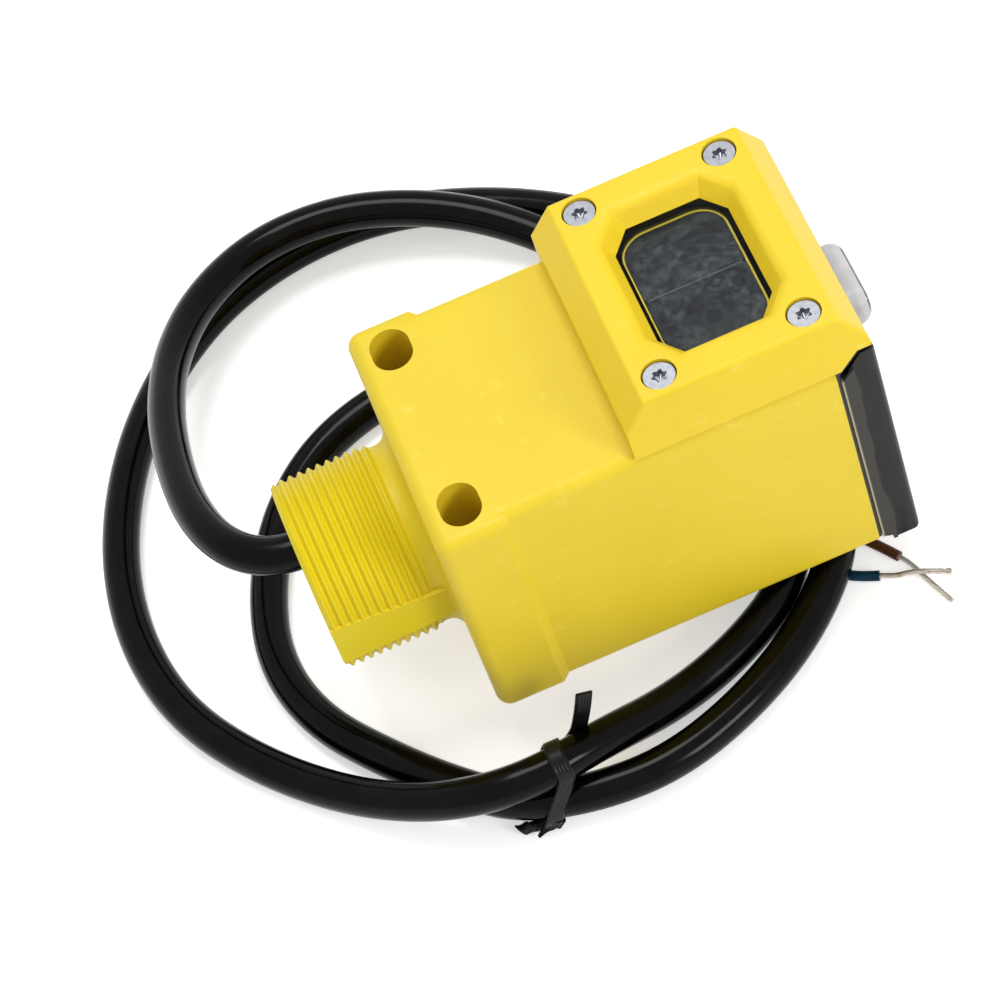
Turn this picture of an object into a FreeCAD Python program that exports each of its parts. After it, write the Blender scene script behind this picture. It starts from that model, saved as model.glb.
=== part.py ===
"""Rectangular infrared emitter with a threaded barrel and a tied coil of cable, as a parametric assembly.

Millimetres. X runs along the barrel's axis towards the top cover, Y across the housing, Z out of the lens.
The origin is on the barrel's axis, at the seat where the barrel leaves the housing.
"""
import FreeCAD, Part
import math
import os
import Sketcher

V = FreeCAD.Vector
doc = FreeCAD.newDocument("InfraredEmitter")

# Driving sizes, each with the cell's alias and what it measures
SIZES = [
    ("barrel_diameter", 30.0, "thread's outer diameter, M30 x 1.5"),
    ("barrel_length", 18.9, "barrel, from the housing's end face"),
    ("barrel_flats", 28.2, "across the two mould flats"),
    ("barrel_chamfer", 0.8, "lead-in at the barrel's end"),
    ("bore_diameter", 20.0, "cable bore through the barrel"),
    ("axis_height", 21.0, "barrel's axis above the housing's back"),
    ("body_length", 62.5, "housing, end face to rim"),
    ("body_width", 42.0, "housing beyond the mounting end"),
    ("body_depth", 43.2, "back to front face"),
    ("body_edge", 1.8, "rounding of the housing's long edges"),
    ("mount_length", 11.5, "wider mounting end beside the barrel"),
    ("mount_width", 44.5, "mounting end's width"),
    ("mount_corner", 3.0, "rounding of the mounting end's corners"),
    ("slot_width", 6.2, "mounting slot, along X"),
    ("slot_length", 7.8, "mounting slot, along Y"),
    ("slot_setback", 5.8, "end face to the slots' centres"),
    ("slot_spacing", 31.5, "between the two slots' centres"),
    ("wall", 2.6, "housing's walls"),
    ("rim_wall", 1.8, "wall round the control plate"),
    ("rim_step", 3.2, "depth of the control plate's ledge"),
    ("board_rail", 4.4, "height of the rails that carry the circuit board"),
    ("rail_width", 1.8, "width of those rails"),
    ("optic_place", 50.0, "end face to the optical axis"),
    ("optic_width", 16.0, "lens aperture, along X"),
    ("optic_length", 24.4, "lens aperture, along Y"),
    ("optic_corner", 4.5, "aperture's corner radius"),
    ("collar_wall", 2.0, "wall of the collar round the aperture"),
    ("bezel_height", 10.9, "housing's front to the bezel's face"),
    ("bezel_foot", 18.6, "optical axis back to the bezel's foot"),
    ("bezel_heel", 13.4, "optical axis on to the bezel's foot at the rim"),
    ("bezel_width", 42.0, "bezel at its foot"),
    ("face_back", 15.0, "optical axis back to the face's edge"),
    ("face_front", 15.0, "optical axis on to the face's edge"),
    ("face_width", 40.8, "bezel's face across Y"),
    ("brow_reach", 18.8, "optical axis on to the brow's tip"),
    ("brow_drop", 5.6, "face down to the brow's upper edge"),
    ("brow_nose", 2.3, "height of the brow's blunt nose"),
    ("brow_rise", 3.0, "height of the slanted seat under the brow"),
    ("shoulder_drop", 4.8, "face down to the shoulder on the barrel's side"),
    ("bezel_edge", 0.7, "rounding of the bezel's edges"),
    ("window_width", 17.9, "window at the glass, along X"),
    ("window_length", 25.5, "window at the glass, along Y"),
    ("window_spread", 2.05, "how far the window's walls flare on each side"),
    ("window_depth", 3.1, "bezel's face down to the glass"),
    ("corner_cut_x", 3.1, "cut corner of the window at the glass, along X"),
    ("corner_cut_y", 4.0, "the same cut, along Y"),
    ("corner_growth", 1.3, "how many times larger that cut is at the face"),
    ("pane_thickness", 1.5, "clear window"),
    ("seal_thickness", 0.6, "window's gasket"),
    ("fit_gap", 0.15, "clearance round parts that drop in"),
    ("screw_span_x", 22.3, "bezel screws, along X"),
    ("screw_span_y", 33.5, "bezel screws, along Y"),
    ("screw_shank", 2.5, "bezel screw's shank diameter"),
    ("screw_head", 5.5, "bezel screw's head diameter"),
    ("head_height", 1.7, "height of that head's cone"),
    ("head_recess", 0.4, "how deep the head sits under the face"),
    ("screw_bite", 1.5, "how deep the bezel screws reach into the housing"),
    ("socket_width", 2.4, "six-lobe socket, across"),
    ("lens_plate", 2.0, "lens moulding's flange"),
    ("lens_crown", 1.5, "height of each lens half over the flange"),
    ("lens_drop", 3.2, "collar's top down to the lens flange"),
    ("carrier_foot", 11.0, "carrier's foot, along X"),
    ("carrier_waist", 6.0, "height at which the carrier starts to widen"),
    ("carrier_wall", 1.2, "carrier's walls"),
    ("board_thickness", 1.6, "circuit board"),
    ("board_start", 12.5, "end face to the circuit board"),
    ("board_gap", 0.8, "circuit board to the control plate"),
    ("post_spacing", 8.0, "between the two terminal posts"),
    ("post_setback", 4.5, "circuit board's end to the posts"),
    ("post_height", 3.2, "terminal post above the board"),
    ("post_diameter", 1.2, "terminal post"),
    ("lamp_diameter", 5.0, "infrared lamp"),
    ("lamp_height", 8.6, "infrared lamp above the board"),
    ("plate_thickness", 1.8, "control plate"),
    ("indicator_diameter", 3.0, "indicator lamp"),
    ("indicator_rim", 0.9, "thickness of the indicator lamp's rim"),
    ("label_margin", 2.2, "mouth's edge to the control plate's sunk field"),
    ("label_depth", 0.3, "depth of that field"),
    ("gasket_thickness", 0.5, "cover gasket"),
    ("cover_gap", 0.05, "closed cover to its gasket"),
    ("cover_height", 6.6, "rim to the cover's outer face"),
    ("cover_wall", 1.5, "cover's walls"),
    ("cover_edge", 1.0, "rounding of the cover's outer edges"),
    ("flange_height", 2.2, "cover's flange beside the rim"),
    ("flange_lip", 0.25, "how far that flange stands out"),
    ("dome_width", 14.5, "indicator dome, along Y"),
    ("dome_length", 7.0, "indicator dome, along Z"),
    ("dome_height", 4.0, "indicator dome over the cover"),
    ("dome_corner", 3.3, "indicator dome's corner radius"),
    ("dome_edge", 2.2, "rounding of the dome's crown"),
    ("dome_place", 35.0, "dome's centre above the housing's back"),
    ("hinge_reach", 2.1, "rim to the hinge pin's axis"),
    ("hinge_rise", 1.5, "housing's back up to the hinge pin's axis"),
    ("knuckle_radius", 1.45, "rounding of the knuckles about the pin"),
    ("pin_diameter", 1.2, "hinge pin"),
    ("pin_length", 5.4, "hinge pin"),
    ("ear_width", 2.4, "hinge ear, along Y"),
    ("ear_place", 17.4, "middle of a hinge ear from the middle plane"),
    ("cable_diameter", 6.1, "cable jacket"),
    ("cable_shift_y", 3.6, "cable's exit beside the barrel's axis"),
    ("cable_shift_z", 2.2, "cable's exit above the barrel's axis"),
    ("potting_recess", 1.0, "barrel's end to the potting"),
    ("potting_length", 14.0, "potting round the cable"),
    ("wire_diameter", 1.65, "insulated conductor"),
    ("strand_diameter", 0.85, "bare twisted conductor"),
    ("floor_drop", 8.4, "housing's back above the surface that the coil lies on"),
    ("cable_flat", 0.5, "how deep the coil's underside is flat where it lies"),
    ("tie_width", 2.4, "flat cable tie"),
    ("tie_thickness", 0.6, "flat cable tie"),
    ("tie_tail", 11.0, "the tie's standing end"),
    ("tie_stub", 5.0, "the tie's short end"),
    ("tie_lean", 14.0, "degrees that the standing end leans"),
    ("tie_swing", 200.0, "degrees that the short end is turned"),
]

sheet = doc.addObject("Spreadsheet::Sheet", "Sizes")
for row, (alias, number, note) in enumerate(SIZES, start=1):
    sheet.set("A%d" % row, alias)
    sheet.set("B%d" % row, str(number))
    sheet.set("C%d" % row, note)
    sheet.setAlias("B%d" % row, alias)
doc.recompute()


def size(alias):
    """A driving size as the sheet holds it."""
    return float(sheet.get(alias))


def expr(text):
    """An expression in which each size's name points at its cell."""
    words = sorted((alias for alias, _, _ in SIZES), key=len, reverse=True)
    out, place = "", 0
    while place < len(text):
        for word in words:
            if text.startswith(word, place):
                out += "Sizes." + word
                place += len(word)
                break
        else:
            out += text[place]
            place += 1
    return out


def worth(text):
    """The number that such an expression gives."""
    total = sheet.evalExpression(expr(text))
    return float(getattr(total, "Value", total))


# Helpers that draw and build with bound sizes


def new_body(label, at=("0", "0", "0")):
    """A body whose origin lies at the named place."""
    body = doc.addObject("PartDesign::Body", label)
    body.Label = label
    place(body, at)
    return body


def place(thing, at):
    """Binds the thing's Placement to three expressions."""
    for axis, text in zip("xyz", at):
        thing.setExpression("Placement.Base." + axis, expr(text))


def new_sketch(body, role, name, height="0"):
    """A sketch on one of the body's own planes, lifted along that plane's normal."""
    plane = [f for f in body.Origin.OriginFeatures if f.Role == role][0]
    sketch = body.newObject("Sketcher::SketchObject", name)
    sketch.AttachmentSupport = [(plane, "")]
    sketch.MapMode = "FlatFace"
    sketch.setExpression("AttachmentOffset.Base.z", expr(height))
    return sketch


def bind(sketch, kind, first, first_end, second, second_end, text, name):
    """A distance in the sketch, held to an expression."""
    constraint = Sketcher.Constraint(kind, first, first_end, second, second_end, worth(text))
    index = sketch.addConstraint(constraint)
    sketch.renameConstraint(index, name)
    sketch.setExpression("Constraints." + name, expr(text))


def polygon(sketch, corners):
    """A closed outline whose corners are pairs of expressions."""
    points = [V(worth(a), worth(b), 0) for a, b in corners]
    first = sketch.GeometryCount
    count = len(points)
    for i in range(count):
        sketch.addGeometry(Part.LineSegment(points[i], points[(i + 1) % count]))
    for i in range(count):
        sketch.addConstraint(Sketcher.Constraint("Coincident", first + i, 2, first + (i + 1) % count, 1))
    for i, (a, b) in enumerate(corners):
        tag = "p%d_" % (first + i)
        bind(sketch, "DistanceX", -1, 1, first + i, 1, a, tag + "x")
        bind(sketch, "DistanceY", -1, 1, first + i, 1, b, tag + "y")


def circle(sketch, across, x="0", y="0"):
    """A circle of the given diameter."""
    index = sketch.addGeometry(Part.Circle(V(worth(x), worth(y), 0), V(0, 0, 1), worth(across) / 2))
    constraint = Sketcher.Constraint("Diameter", index, worth(across))
    place_in_list = sketch.addConstraint(constraint)
    sketch.renameConstraint(place_in_list, "across%d" % index)
    sketch.setExpression("Constraints.across%d" % index, expr(across))
    bind(sketch, "DistanceX", -1, 1, index, 3, x, "x%d" % index)
    bind(sketch, "DistanceY", -1, 1, index, 3, y, "y%d" % index)


def rounded(sketch, width, height, radius, x="0", y="0"):
    """A rectangle with four round corners, given by its full width and height."""
    first = sketch.GeometryCount
    corners = [(1, 1, 0), (-1, 1, 90), (-1, -1, 180), (1, -1, 270)]
    w, h, r = worth(width) / 2, worth(height) / 2, worth(radius)
    cx, cy = worth(x), worth(y)
    for sx, sy, start in corners:
        centre = V(cx + sx * (w - r), cy + sy * (h - r), 0)
        whole = Part.Circle(centre, V(0, 0, 1), r)
        sketch.addGeometry(Part.ArcOfCircle(whole, math.radians(start), math.radians(start + 90)))
    for i in range(4):
        here, there = first + i, first + (i + 1) % 4
        a = sketch.getPoint(here, 2)
        b = sketch.getPoint(there, 1)
        line = sketch.addGeometry(Part.LineSegment(a, b))
        sketch.addConstraint(Sketcher.Constraint("Coincident", line, 1, here, 2))
        sketch.addConstraint(Sketcher.Constraint("Coincident", line, 2, there, 1))
    for i, (sx, sy, start) in enumerate(corners):
        arc = first + i
        tag = "r%d_" % arc
        level, upright = (1, 2) if start in (0, 180) else (2, 1)
        sketch.addConstraint(Sketcher.Constraint("Horizontal", arc, 3, arc, level))
        sketch.addConstraint(Sketcher.Constraint("Vertical", arc, 3, arc, upright))
        index = sketch.addConstraint(Sketcher.Constraint("Radius", arc, r))
        sketch.renameConstraint(index, tag + "radius")
        sketch.setExpression("Constraints." + tag + "radius", expr(radius))
        across = "(%s)%s((%s)/2-(%s))" % (x, "+" if sx > 0 else "-", width, radius)
        along = "(%s)%s((%s)/2-(%s))" % (y, "+" if sy > 0 else "-", height, radius)
        bind(sketch, "DistanceX", -1, 1, arc, 3, across, tag + "x")
        bind(sketch, "DistanceY", -1, 1, arc, 3, along, tag + "y")


def clipped(sketch, width, height, cut_x, cut_y):
    """A rectangle with its four corners cut off, given by its full width and height."""
    w, h = "(%s)/2" % width, "(%s)/2" % height
    x, y = "(%s-%s)" % (w, cut_x), "(%s-%s)" % (h, cut_y)
    polygon(sketch, [(w, "-" + y), (w, y), (x, h), ("-" + x, h),
                     ("-" + w, y), ("-" + w, "-" + y), ("-" + x, "-" + h), (x, "-" + h)])


def pad(body, sketch, name, length, both=False, back=False):
    """A pad of the sketch; both sides of its plane, or against its normal."""
    feature = body.newObject("PartDesign::Pad", name)
    feature.Profile = sketch
    feature.setExpression("Length", expr(length))
    feature.SideType = "Symmetric" if both else "One side"
    feature.Reversed = back
    doc.recompute()
    return feature


def pocket(body, sketch, name, length, both=False, back=False):
    """A pocket of the sketch, which has to take material away."""
    before = body.Shape.Volume
    feature = body.newObject("PartDesign::Pocket", name)
    feature.Profile = sketch
    feature.setExpression("Length", expr(length))
    feature.SideType = "Symmetric" if both else "One side"
    feature.Reversed = back
    doc.recompute()
    if not body.Shape.Volume < before - 0.01:
        raise RuntimeError(name + " cuts nothing")
    return feature


def loft(body, kind, name, lower, upper):
    """A ruled loft between two sketches, added or taken away."""
    feature = body.newObject(kind, name)
    feature.Profile = lower
    feature.Sections = [upper]
    feature.Ruled = True
    doc.recompute()
    return feature


def round_edges(body, name, radius, chosen, kind="PartDesign::Fillet"):
    """Rounds or chamfers the edges of the body's tip that the test picks."""
    tip = body.Tip
    names = ["Edge%d" % (i + 1) for i, edge in enumerate(tip.Shape.Edges) if chosen(edge)]
    if not names:
        raise RuntimeError(name + " finds no edge")
    feature = body.newObject(kind, name)
    feature.Base = (tip, names)
    feature.setExpression("Radius" if kind.endswith("Fillet") else "Size", expr(radius))
    doc.recompute()
    return feature


def near(value, target, slack=0.02):
    return abs(value - target) < slack


# Levels and places that several pieces share, as expressions of the sizes
BACK = "-axis_height"
FRONT = "body_depth-axis_height"
MIDDLE = "body_depth/2-axis_height"
FACE = FRONT + "+bezel_height"
PANE_TOP = FACE + "-window_depth"
PANE_BASE = PANE_TOP + "-pane_thickness"
COLLAR_TOP = PANE_BASE + "-seal_thickness"
LENS_BASE = COLLAR_TOP + "-lens_drop"
BOARD_BASE = BACK + "+wall+board_rail"
BOARD_TOP = BOARD_BASE + "+board_thickness"
PLATE_BACK = "body_length-rim_step"
BOARD_LENGTH = "(body_length-rim_step-board_start-board_gap)"
SCREW_LENGTH = "(bezel_height-head_recess+screw_bite)"
HINGE_X = "body_length+hinge_reach"
HINGE_Z = BACK + "+hinge_rise"
COVER_START = "body_length+gasket_thickness+cover_gap"
COVER_TOP = "body_length+cover_height"
DOME_Z = BACK + "+dome_place"
COLLAR_WIDTH = "(optic_width+2*collar_wall)"
COLLAR_LENGTH = "(optic_length+2*collar_wall)"
COLLAR_CORNER = "(optic_corner+collar_wall)"


def housing():
    """One yellow moulding: box, wider mounting end, barrel, collar, slots, ledges and hinge ears."""
    body = new_body("housing")

    end = new_sketch(body, "YZ_Plane", "MountingEnd")
    rounded(end, "mount_width", "body_depth", "body_edge", "0", MIDDLE)
    pad(body, end, "MountingEndPad", "mount_length")
    round_edges(body, "EndEdges", "body_edge*1.2",
                lambda e: near(e.BoundBox.XMax, 0) and e.BoundBox.XLength < 0.01)

    box = new_sketch(body, "YZ_Plane", "Box", "mount_length")
    rounded(box, "body_width", "body_depth", "body_edge", "0", MIDDLE)
    pad(body, box, "BoxPad", "body_length-mount_length")

    barrel = new_sketch(body, "YZ_Plane", "Barrel", "body_edge*1.5")
    circle(barrel, "barrel_diameter")
    pad(body, barrel, "BarrelPad", "barrel_length+body_edge*1.5", back=True)
    flats = new_sketch(body, "YZ_Plane", "MouldFlats")
    for side in ("+", "-"):
        inner, outer = side + "barrel_flats/2", side + "barrel_diameter"
        low, high = "-barrel_diameter/2", "barrel_diameter/2"
        if side == "-":
            low, high = high, low
        polygon(flats, [(inner, low), (outer, low), (outer, high), (inner, high)])
    pocket(body, flats, "MouldFlatsCut", "barrel_length+1", back=False)
    tip = -size("barrel_length")
    round_edges(body, "BarrelLeadIn", "barrel_chamfer",
                lambda e: near(e.BoundBox.XMin, tip) and near(e.BoundBox.XMax, tip), "PartDesign::Chamfer")

    bore = new_sketch(body, "YZ_Plane", "Bore", "-barrel_length-1")
    circle(bore, "bore_diameter")
    pocket(body, bore, "BoreCut", "barrel_length+mount_length+2", back=True)

    collar = new_sketch(body, "XY_Plane", "Collar", FRONT + "-wall/2")
    rounded(collar, COLLAR_WIDTH, COLLAR_LENGTH, COLLAR_CORNER, "optic_place", "0")
    pad(body, collar, "CollarPad", COLLAR_TOP + "-(" + FRONT + "-wall/2)")

    room = new_sketch(body, "YZ_Plane", "Room", "mount_length")
    inside_low = BACK + "+wall+board_rail"
    inside_high = FRONT + "-wall"
    half = "(body_width/2-wall)"
    shelf = "(body_width/2-wall-rail_width)"
    base = BACK + "+wall"
    polygon(room, [("-" + shelf, base), (shelf, base), (shelf, inside_low), (half, inside_low),
                   (half, inside_high), ("-" + half, inside_high), ("-" + half, inside_low),
                   ("-" + shelf, inside_low)])
    pocket(body, room, "RoomCut", "body_length", back=True)

    mouth = new_sketch(body, "YZ_Plane", "Mouth", PLATE_BACK)
    rounded(mouth, "body_width-2*rim_wall", "body_depth-2*rim_wall", "body_edge*0.6", "0", MIDDLE)
    pocket(body, mouth, "MouthCut", "rim_step+1", back=True)

    aperture = new_sketch(body, "XY_Plane", "Aperture", FACE)
    rounded(aperture, "optic_width", "optic_length", "optic_corner", "optic_place", "0")
    pocket(body, aperture, "ApertureCut", "bezel_height+wall*2")

    slots = new_sketch(body, "XY_Plane", "MountingSlots", FRONT + "+1")
    for side in ("+", "-"):
        at = side + "slot_spacing/2"
        rounded(slots, "slot_width", "slot_length", "slot_width*0.4999", "slot_setback", at)
    pocket(body, slots, "MountingSlotsCut", "body_depth+2")

    pilots = new_sketch(body, "XY_Plane", "ScrewPilots", FRONT)
    for side_x in ("+", "-"):
        at = "optic_place" + side_x + "screw_span_x/2"
        for side_y in ("+", "-"):
            circle(pilots, "screw_shank", at, side_y + "screw_span_y/2")
    pocket(body, pilots, "ScrewPilotsCut", "screw_bite+0.1")

    for side in ("+", "-"):
        name = "Near" if side == "-" else "Far"
        ear = new_sketch(body, "XZ_Plane", name + "Ear", "-(" + side + "ear_place)-ear_width/2")
        left = "body_length-rim_wall/2"
        low = BACK + "+0.1"
        top = HINGE_Z + "+knuckle_radius"
        polygon(ear, [(left, low), (HINGE_X, low), (HINGE_X, top), (left, top)])
        pad(body, ear, name + "EarPad", "ear_width")
        end_cap = new_sketch(body, "XZ_Plane", name + "EarEnd", "-(" + side + "ear_place)-ear_width/2")
        circle(end_cap, "2*(hinge_rise-0.1)", HINGE_X, HINGE_Z)
        pad(body, end_cap, name + "EarEndPad", "ear_width")
    pin_hole = new_sketch(body, "XZ_Plane", "HingeBore")
    circle(pin_hole, "pin_diameter+0.04", HINGE_X, HINGE_Z)
    pocket(body, pin_hole, "HingeBoreCut", "body_width*2", both=True)
    return body


def lens_bezel():
    """The yellow block that clamps the window, with a brow that roofs the cover's front end."""
    body = new_body("lens_bezel", ("optic_place", "0", FRONT))
    height = "bezel_height"
    nose_top = height + "-brow_drop"
    nose_base = nose_top + "-brow_nose"
    heel = "bezel_heel"
    profile = new_sketch(body, "XZ_Plane", "Profile")
    polygon(profile, [("-bezel_foot", "0"), (heel, "0"), (heel + "+brow_rise", "brow_rise"),
                      ("brow_reach-0.2", nose_base), ("brow_reach", nose_base + "+0.4"),
                      ("brow_reach-0.3", nose_top), ("face_front", height), ("-face_back", height),
                      ("-bezel_foot", height + "-shoulder_drop")])
    pad(body, profile, "ProfilePad", "bezel_width", both=True)
    slopes = new_sketch(body, "YZ_Plane", "SideSlopes")
    for side in ("+", "-"):
        foot, face = side + "bezel_width/2", side + "face_width/2"
        out, above = side + "(bezel_width/2+1)", height + "+1"
        polygon(slopes, [(foot, "0"), (out, "0"), (out, above), (face, above), (face, height)])
    pocket(body, slopes, "SideSlopesCut", "body_length*2", both=True)

    def outer_edge(edge):
        box = edge.BoundBox
        top = worth(height)
        if near(box.ZMin, top) and near(box.ZMax, top):
            return True
        return box.ZMax > top - 0.05 and box.ZMin < top - 1 and box.ZMax - box.ZMin > 1

    round_edges(body, "FaceEdges", "bezel_edge", outer_edge)

    glass = height + "-window_depth"
    lower = new_sketch(body, "XY_Plane", "WindowAtGlass", glass)
    clipped(lower, "window_width", "window_length", "corner_cut_x", "corner_cut_y")
    upper = new_sketch(body, "XY_Plane", "WindowAtFace", height + "+0.1")
    wide = "window_spread*2*(window_depth+0.1)/window_depth"
    clipped(upper, "window_width+" + wide, "window_length+" + wide,
            "corner_cut_x*corner_growth", "corner_cut_y*corner_growth")
    loft(body, "PartDesign::SubtractiveLoft", "WindowFlare", lower, upper)

    seat = new_sketch(body, "XY_Plane", "WindowSeat")
    rounded(seat, COLLAR_WIDTH + "+2*fit_gap", COLLAR_LENGTH + "+2*fit_gap", COLLAR_CORNER + "+fit_gap")
    pocket(body, seat, "WindowSeatCut", glass, back=True)

    holes = new_sketch(body, "XY_Plane", "ScrewHoles", height)
    heads = new_sketch(body, "XY_Plane", "ScrewHeads", height)
    for side_x in ("+", "-"):
        for side_y in ("+", "-"):
            circle(holes, "screw_shank+0.4", side_x + "screw_span_x/2", side_y + "screw_span_y/2")
            circle(heads, "screw_head+0.4", side_x + "screw_span_x/2", side_y + "screw_span_y/2")
    pocket(body, holes, "ScrewHolesCut", height + "+1")
    pocket(body, heads, "ScrewHeadsCut", "head_recess+head_height")
    return body


def bezel_screws():
    """Four flat-head screws with six-lobe sockets, one node."""
    at = ("optic_place", "0", FACE + "-head_recess")
    head = doc.addObject("Part::Cone", "ScrewHead")
    shank = doc.addObject("Part::Cylinder", "ScrewShank")
    head.setExpression("Radius1", expr("screw_shank/2"))
    head.setExpression("Radius2", expr("screw_head/2"))
    head.setExpression("Height", expr("head_height"))
    head.setExpression("Placement.Base.z", expr("-head_height"))
    shank.setExpression("Radius", expr("screw_shank/2-0.02"))
    shank.setExpression("Height", expr(SCREW_LENGTH + "-head_height/2"))
    shank.setExpression("Placement.Base.z", expr("-" + SCREW_LENGTH))
    socket = doc.addObject("Part::Prism", "ScrewSocket")
    socket.Polygon = 6
    socket.setExpression("Circumradius", expr("socket_width/2"))
    socket.setExpression("Height", expr("head_height*0.6"))
    socket.setExpression("Placement.Base.z", expr("-head_height*0.6"))
    whole = doc.addObject("Part::Fuse", "ScrewBlank")
    whole.Base, whole.Tool = head, shank
    screw = doc.addObject("Part::Cut", "Screw")
    screw.Base, screw.Tool = whole, socket
    doc.recompute()
    copies = []
    for i, (side_x, side_y) in enumerate((("+", "+"), ("-", "+"), ("+", "-"), ("-", "-"))):
        copy = doc.addObject("App::Link", "ScrewCopy%d" % (i + 1))
        copy.LinkedObject = screw
        place(copy, (side_x + "screw_span_x/2", side_y + "screw_span_y/2", "0"))
        copies.append(copy)
    group = doc.addObject("Part::Compound", "bezel_screws")
    group.Links = copies
    place(group, at)
    return group


def pane(label, thickness, at, inner=None):
    """A flat plate with the collar's outline, with or without an opening."""
    body = new_body(label, at)
    outline = new_sketch(body, "XY_Plane", "Outline")
    rounded(outline, COLLAR_WIDTH, COLLAR_LENGTH, COLLAR_CORNER)
    if inner:
        rounded(outline, *inner)
    pad(body, outline, "OutlinePad", thickness)
    return body


def window_pieces():
    """The clear window and the black gasket that it is pressed on."""
    window = pane("window", "pane_thickness", ("optic_place", "0", PANE_BASE))
    hole = ("optic_width+0.6", "optic_length+0.6", "optic_corner+0.3")
    seal = pane("window_seal", "seal_thickness", ("optic_place", "0", COLLAR_TOP), hole)
    return [window, seal]


def named(kind, name, **bound):
    """A Part primitive with bound sizes; the keys x, y and z place it."""
    thing = doc.addObject("Part::" + kind, name)
    for key, text in bound.items():
        target = "Placement.Base." + key if key in ("x", "y", "z") else key
        thing.setExpression(target, expr(text))
    return thing


def joined(kind, name, parts):
    """A fusion, common or compound of several things."""
    thing = doc.addObject("Part::" + kind, name)
    if kind == "Compound":
        thing.Links = parts
    else:
        thing.Shapes = parts
    return thing


def less(name, base, tool):
    """The base with the tool taken away."""
    thing = doc.addObject("Part::Cut", name)
    thing.Base, thing.Tool = base, tool
    return thing


def lens_block():
    """One dark infrared-passing moulding: a flange with two crowned lens halves side by side."""
    outline = new_body("LensOutline")
    sketch = new_sketch(outline, "XY_Plane", "LensOutlineSketch")
    rounded(sketch, "optic_width-2*fit_gap", "optic_length-2*fit_gap", "optic_corner-fit_gap")
    pad(outline, sketch, "LensOutlinePad", "lens_plate+lens_crown")
    flange = named("Box", "LensFlange", Length="optic_width", Width="optic_length", Height="lens_plate",
                   x="-optic_width/2", y="-optic_length/2")
    reach = "(optic_length/4-fit_gap)"
    radius = "((" + reach + "^2+(optic_width/2)^2+lens_crown^2)/(2*lens_crown))"
    far = named("Sphere", "FarCrown", Radius=radius, y=reach, z="lens_plate+lens_crown-" + radius)
    close = named("Sphere", "NearCrown", Radius=radius, y="-" + reach, z="lens_plate+lens_crown-" + radius)
    form = joined("MultiFuse", "LensForm", [flange, far, close])
    lens = joined("MultiCommon", "lens_block", [outline, form])
    place(lens, ("optic_place", "0", LENS_BASE))
    doc.recompute()
    return lens


def lens_carrier():
    """The black tube under the lens, with one chamber for each lens half, narrow at the board."""
    body = new_body("lens_carrier", ("optic_place", "0", BOARD_TOP))
    height = LENS_BASE + "-(" + BOARD_TOP + ")"
    outline = new_sketch(body, "XY_Plane", "CarrierOutline")
    rounded(outline, "optic_width-2*fit_gap", "optic_length-2*fit_gap", "optic_corner-fit_gap")
    pad(body, outline, "CarrierPad", height)
    waist, above = "carrier_waist", height + "+1"
    slopes = new_sketch(body, "XZ_Plane", "CarrierSlopes")
    for side in ("+", "-"):
        foot, top, out = side + "carrier_foot/2", side + "(optic_width/2-fit_gap)", side + "optic_width"
        polygon(slopes, [(foot, "-1"), (out, "-1"), (out, height), (top, height), (foot, waist)])
    pocket(body, slopes, "CarrierSlopesCut", "optic_length*2", both=True)
    top = "(optic_width/2-fit_gap-carrier_wall)"
    foot = "(carrier_foot/2-carrier_wall)"
    for name, start in (("Near", "-carrier_wall/2"), ("Far", "-(optic_length/2-fit_gap-carrier_wall)")):
        hollow = new_sketch(body, "XZ_Plane", name + "Chamber", start)
        polygon(hollow, [("-" + foot, "-1"), (foot, "-1"), (foot, waist), (top, height), (top, above),
                         ("-" + top, above), ("-" + top, height), ("-" + foot, waist)])
        pocket(body, hollow, name + "ChamberCut", "(optic_length-2*fit_gap-3*carrier_wall)/2", back=True)
    return body


def lamps():
    """The infrared lamp under the near lens half and the indicator under the cover's dome."""
    half = "-(optic_length-2*fit_gap-2*carrier_wall)/4"
    stem = "lamp_height-lamp_diameter/2"
    body = named("Cylinder", "LampBody", Radius="lamp_diameter/2", Height=stem)
    crown = named("Sphere", "LampCrown", Radius="lamp_diameter/2", z=stem)
    flange = named("Cylinder", "LampFlange", Radius="lamp_diameter/2+0.4", Height="1")
    lamp = joined("MultiFuse", "infrared_led", [body, crown, flange])
    place(lamp, ("optic_place", half, BOARD_TOP))

    reach = "plate_thickness+indicator_rim*1.3"
    body = named("Cylinder", "IndicatorBody", Radius="indicator_diameter/2", Height=reach)
    cap = named("Sphere", "IndicatorCrown", Radius="indicator_diameter/2", z=reach)
    rim = named("Cylinder", "IndicatorFlange", Radius="indicator_diameter/2+0.4", Height="indicator_rim")
    indicator = joined("MultiFuse", "indicator_led", [body, cap, rim])
    indicator.Placement.Rotation = FreeCAD.Rotation(V(0, 1, 0), 90)
    place(indicator, (PLATE_BACK + "-indicator_rim", "0", DOME_Z))
    doc.recompute()
    return [lamp, indicator]


def board():
    """The circuit board on the housing's rails, with its two terminal posts as a node of their own."""
    plate = named("Box", "main_board", Length=BOARD_LENGTH, Width="body_width-2*wall-2*fit_gap",
                  Height="board_thickness")
    place(plate, ("board_start", "-(body_width/2-wall-fit_gap)", BOARD_BASE))
    posts = []
    for name, side in (("BrownPost", "+"), ("BluePost", "-")):
        at = side + "post_spacing/2"
        foot = named("Cylinder", name + "Foot", Radius="post_diameter*1.2", Height="post_height/4", y=at)
        post = named("Cylinder", name + "Pin", Radius="post_diameter/2", Height="post_height", y=at)
        posts.append(joined("MultiFuse", name, [foot, post]))
    terminals = joined("Compound", "terminal_posts", posts)
    place(terminals, ("board_start+post_setback", "0", BOARD_TOP))
    doc.recompute()
    return [plate, terminals]


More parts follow.
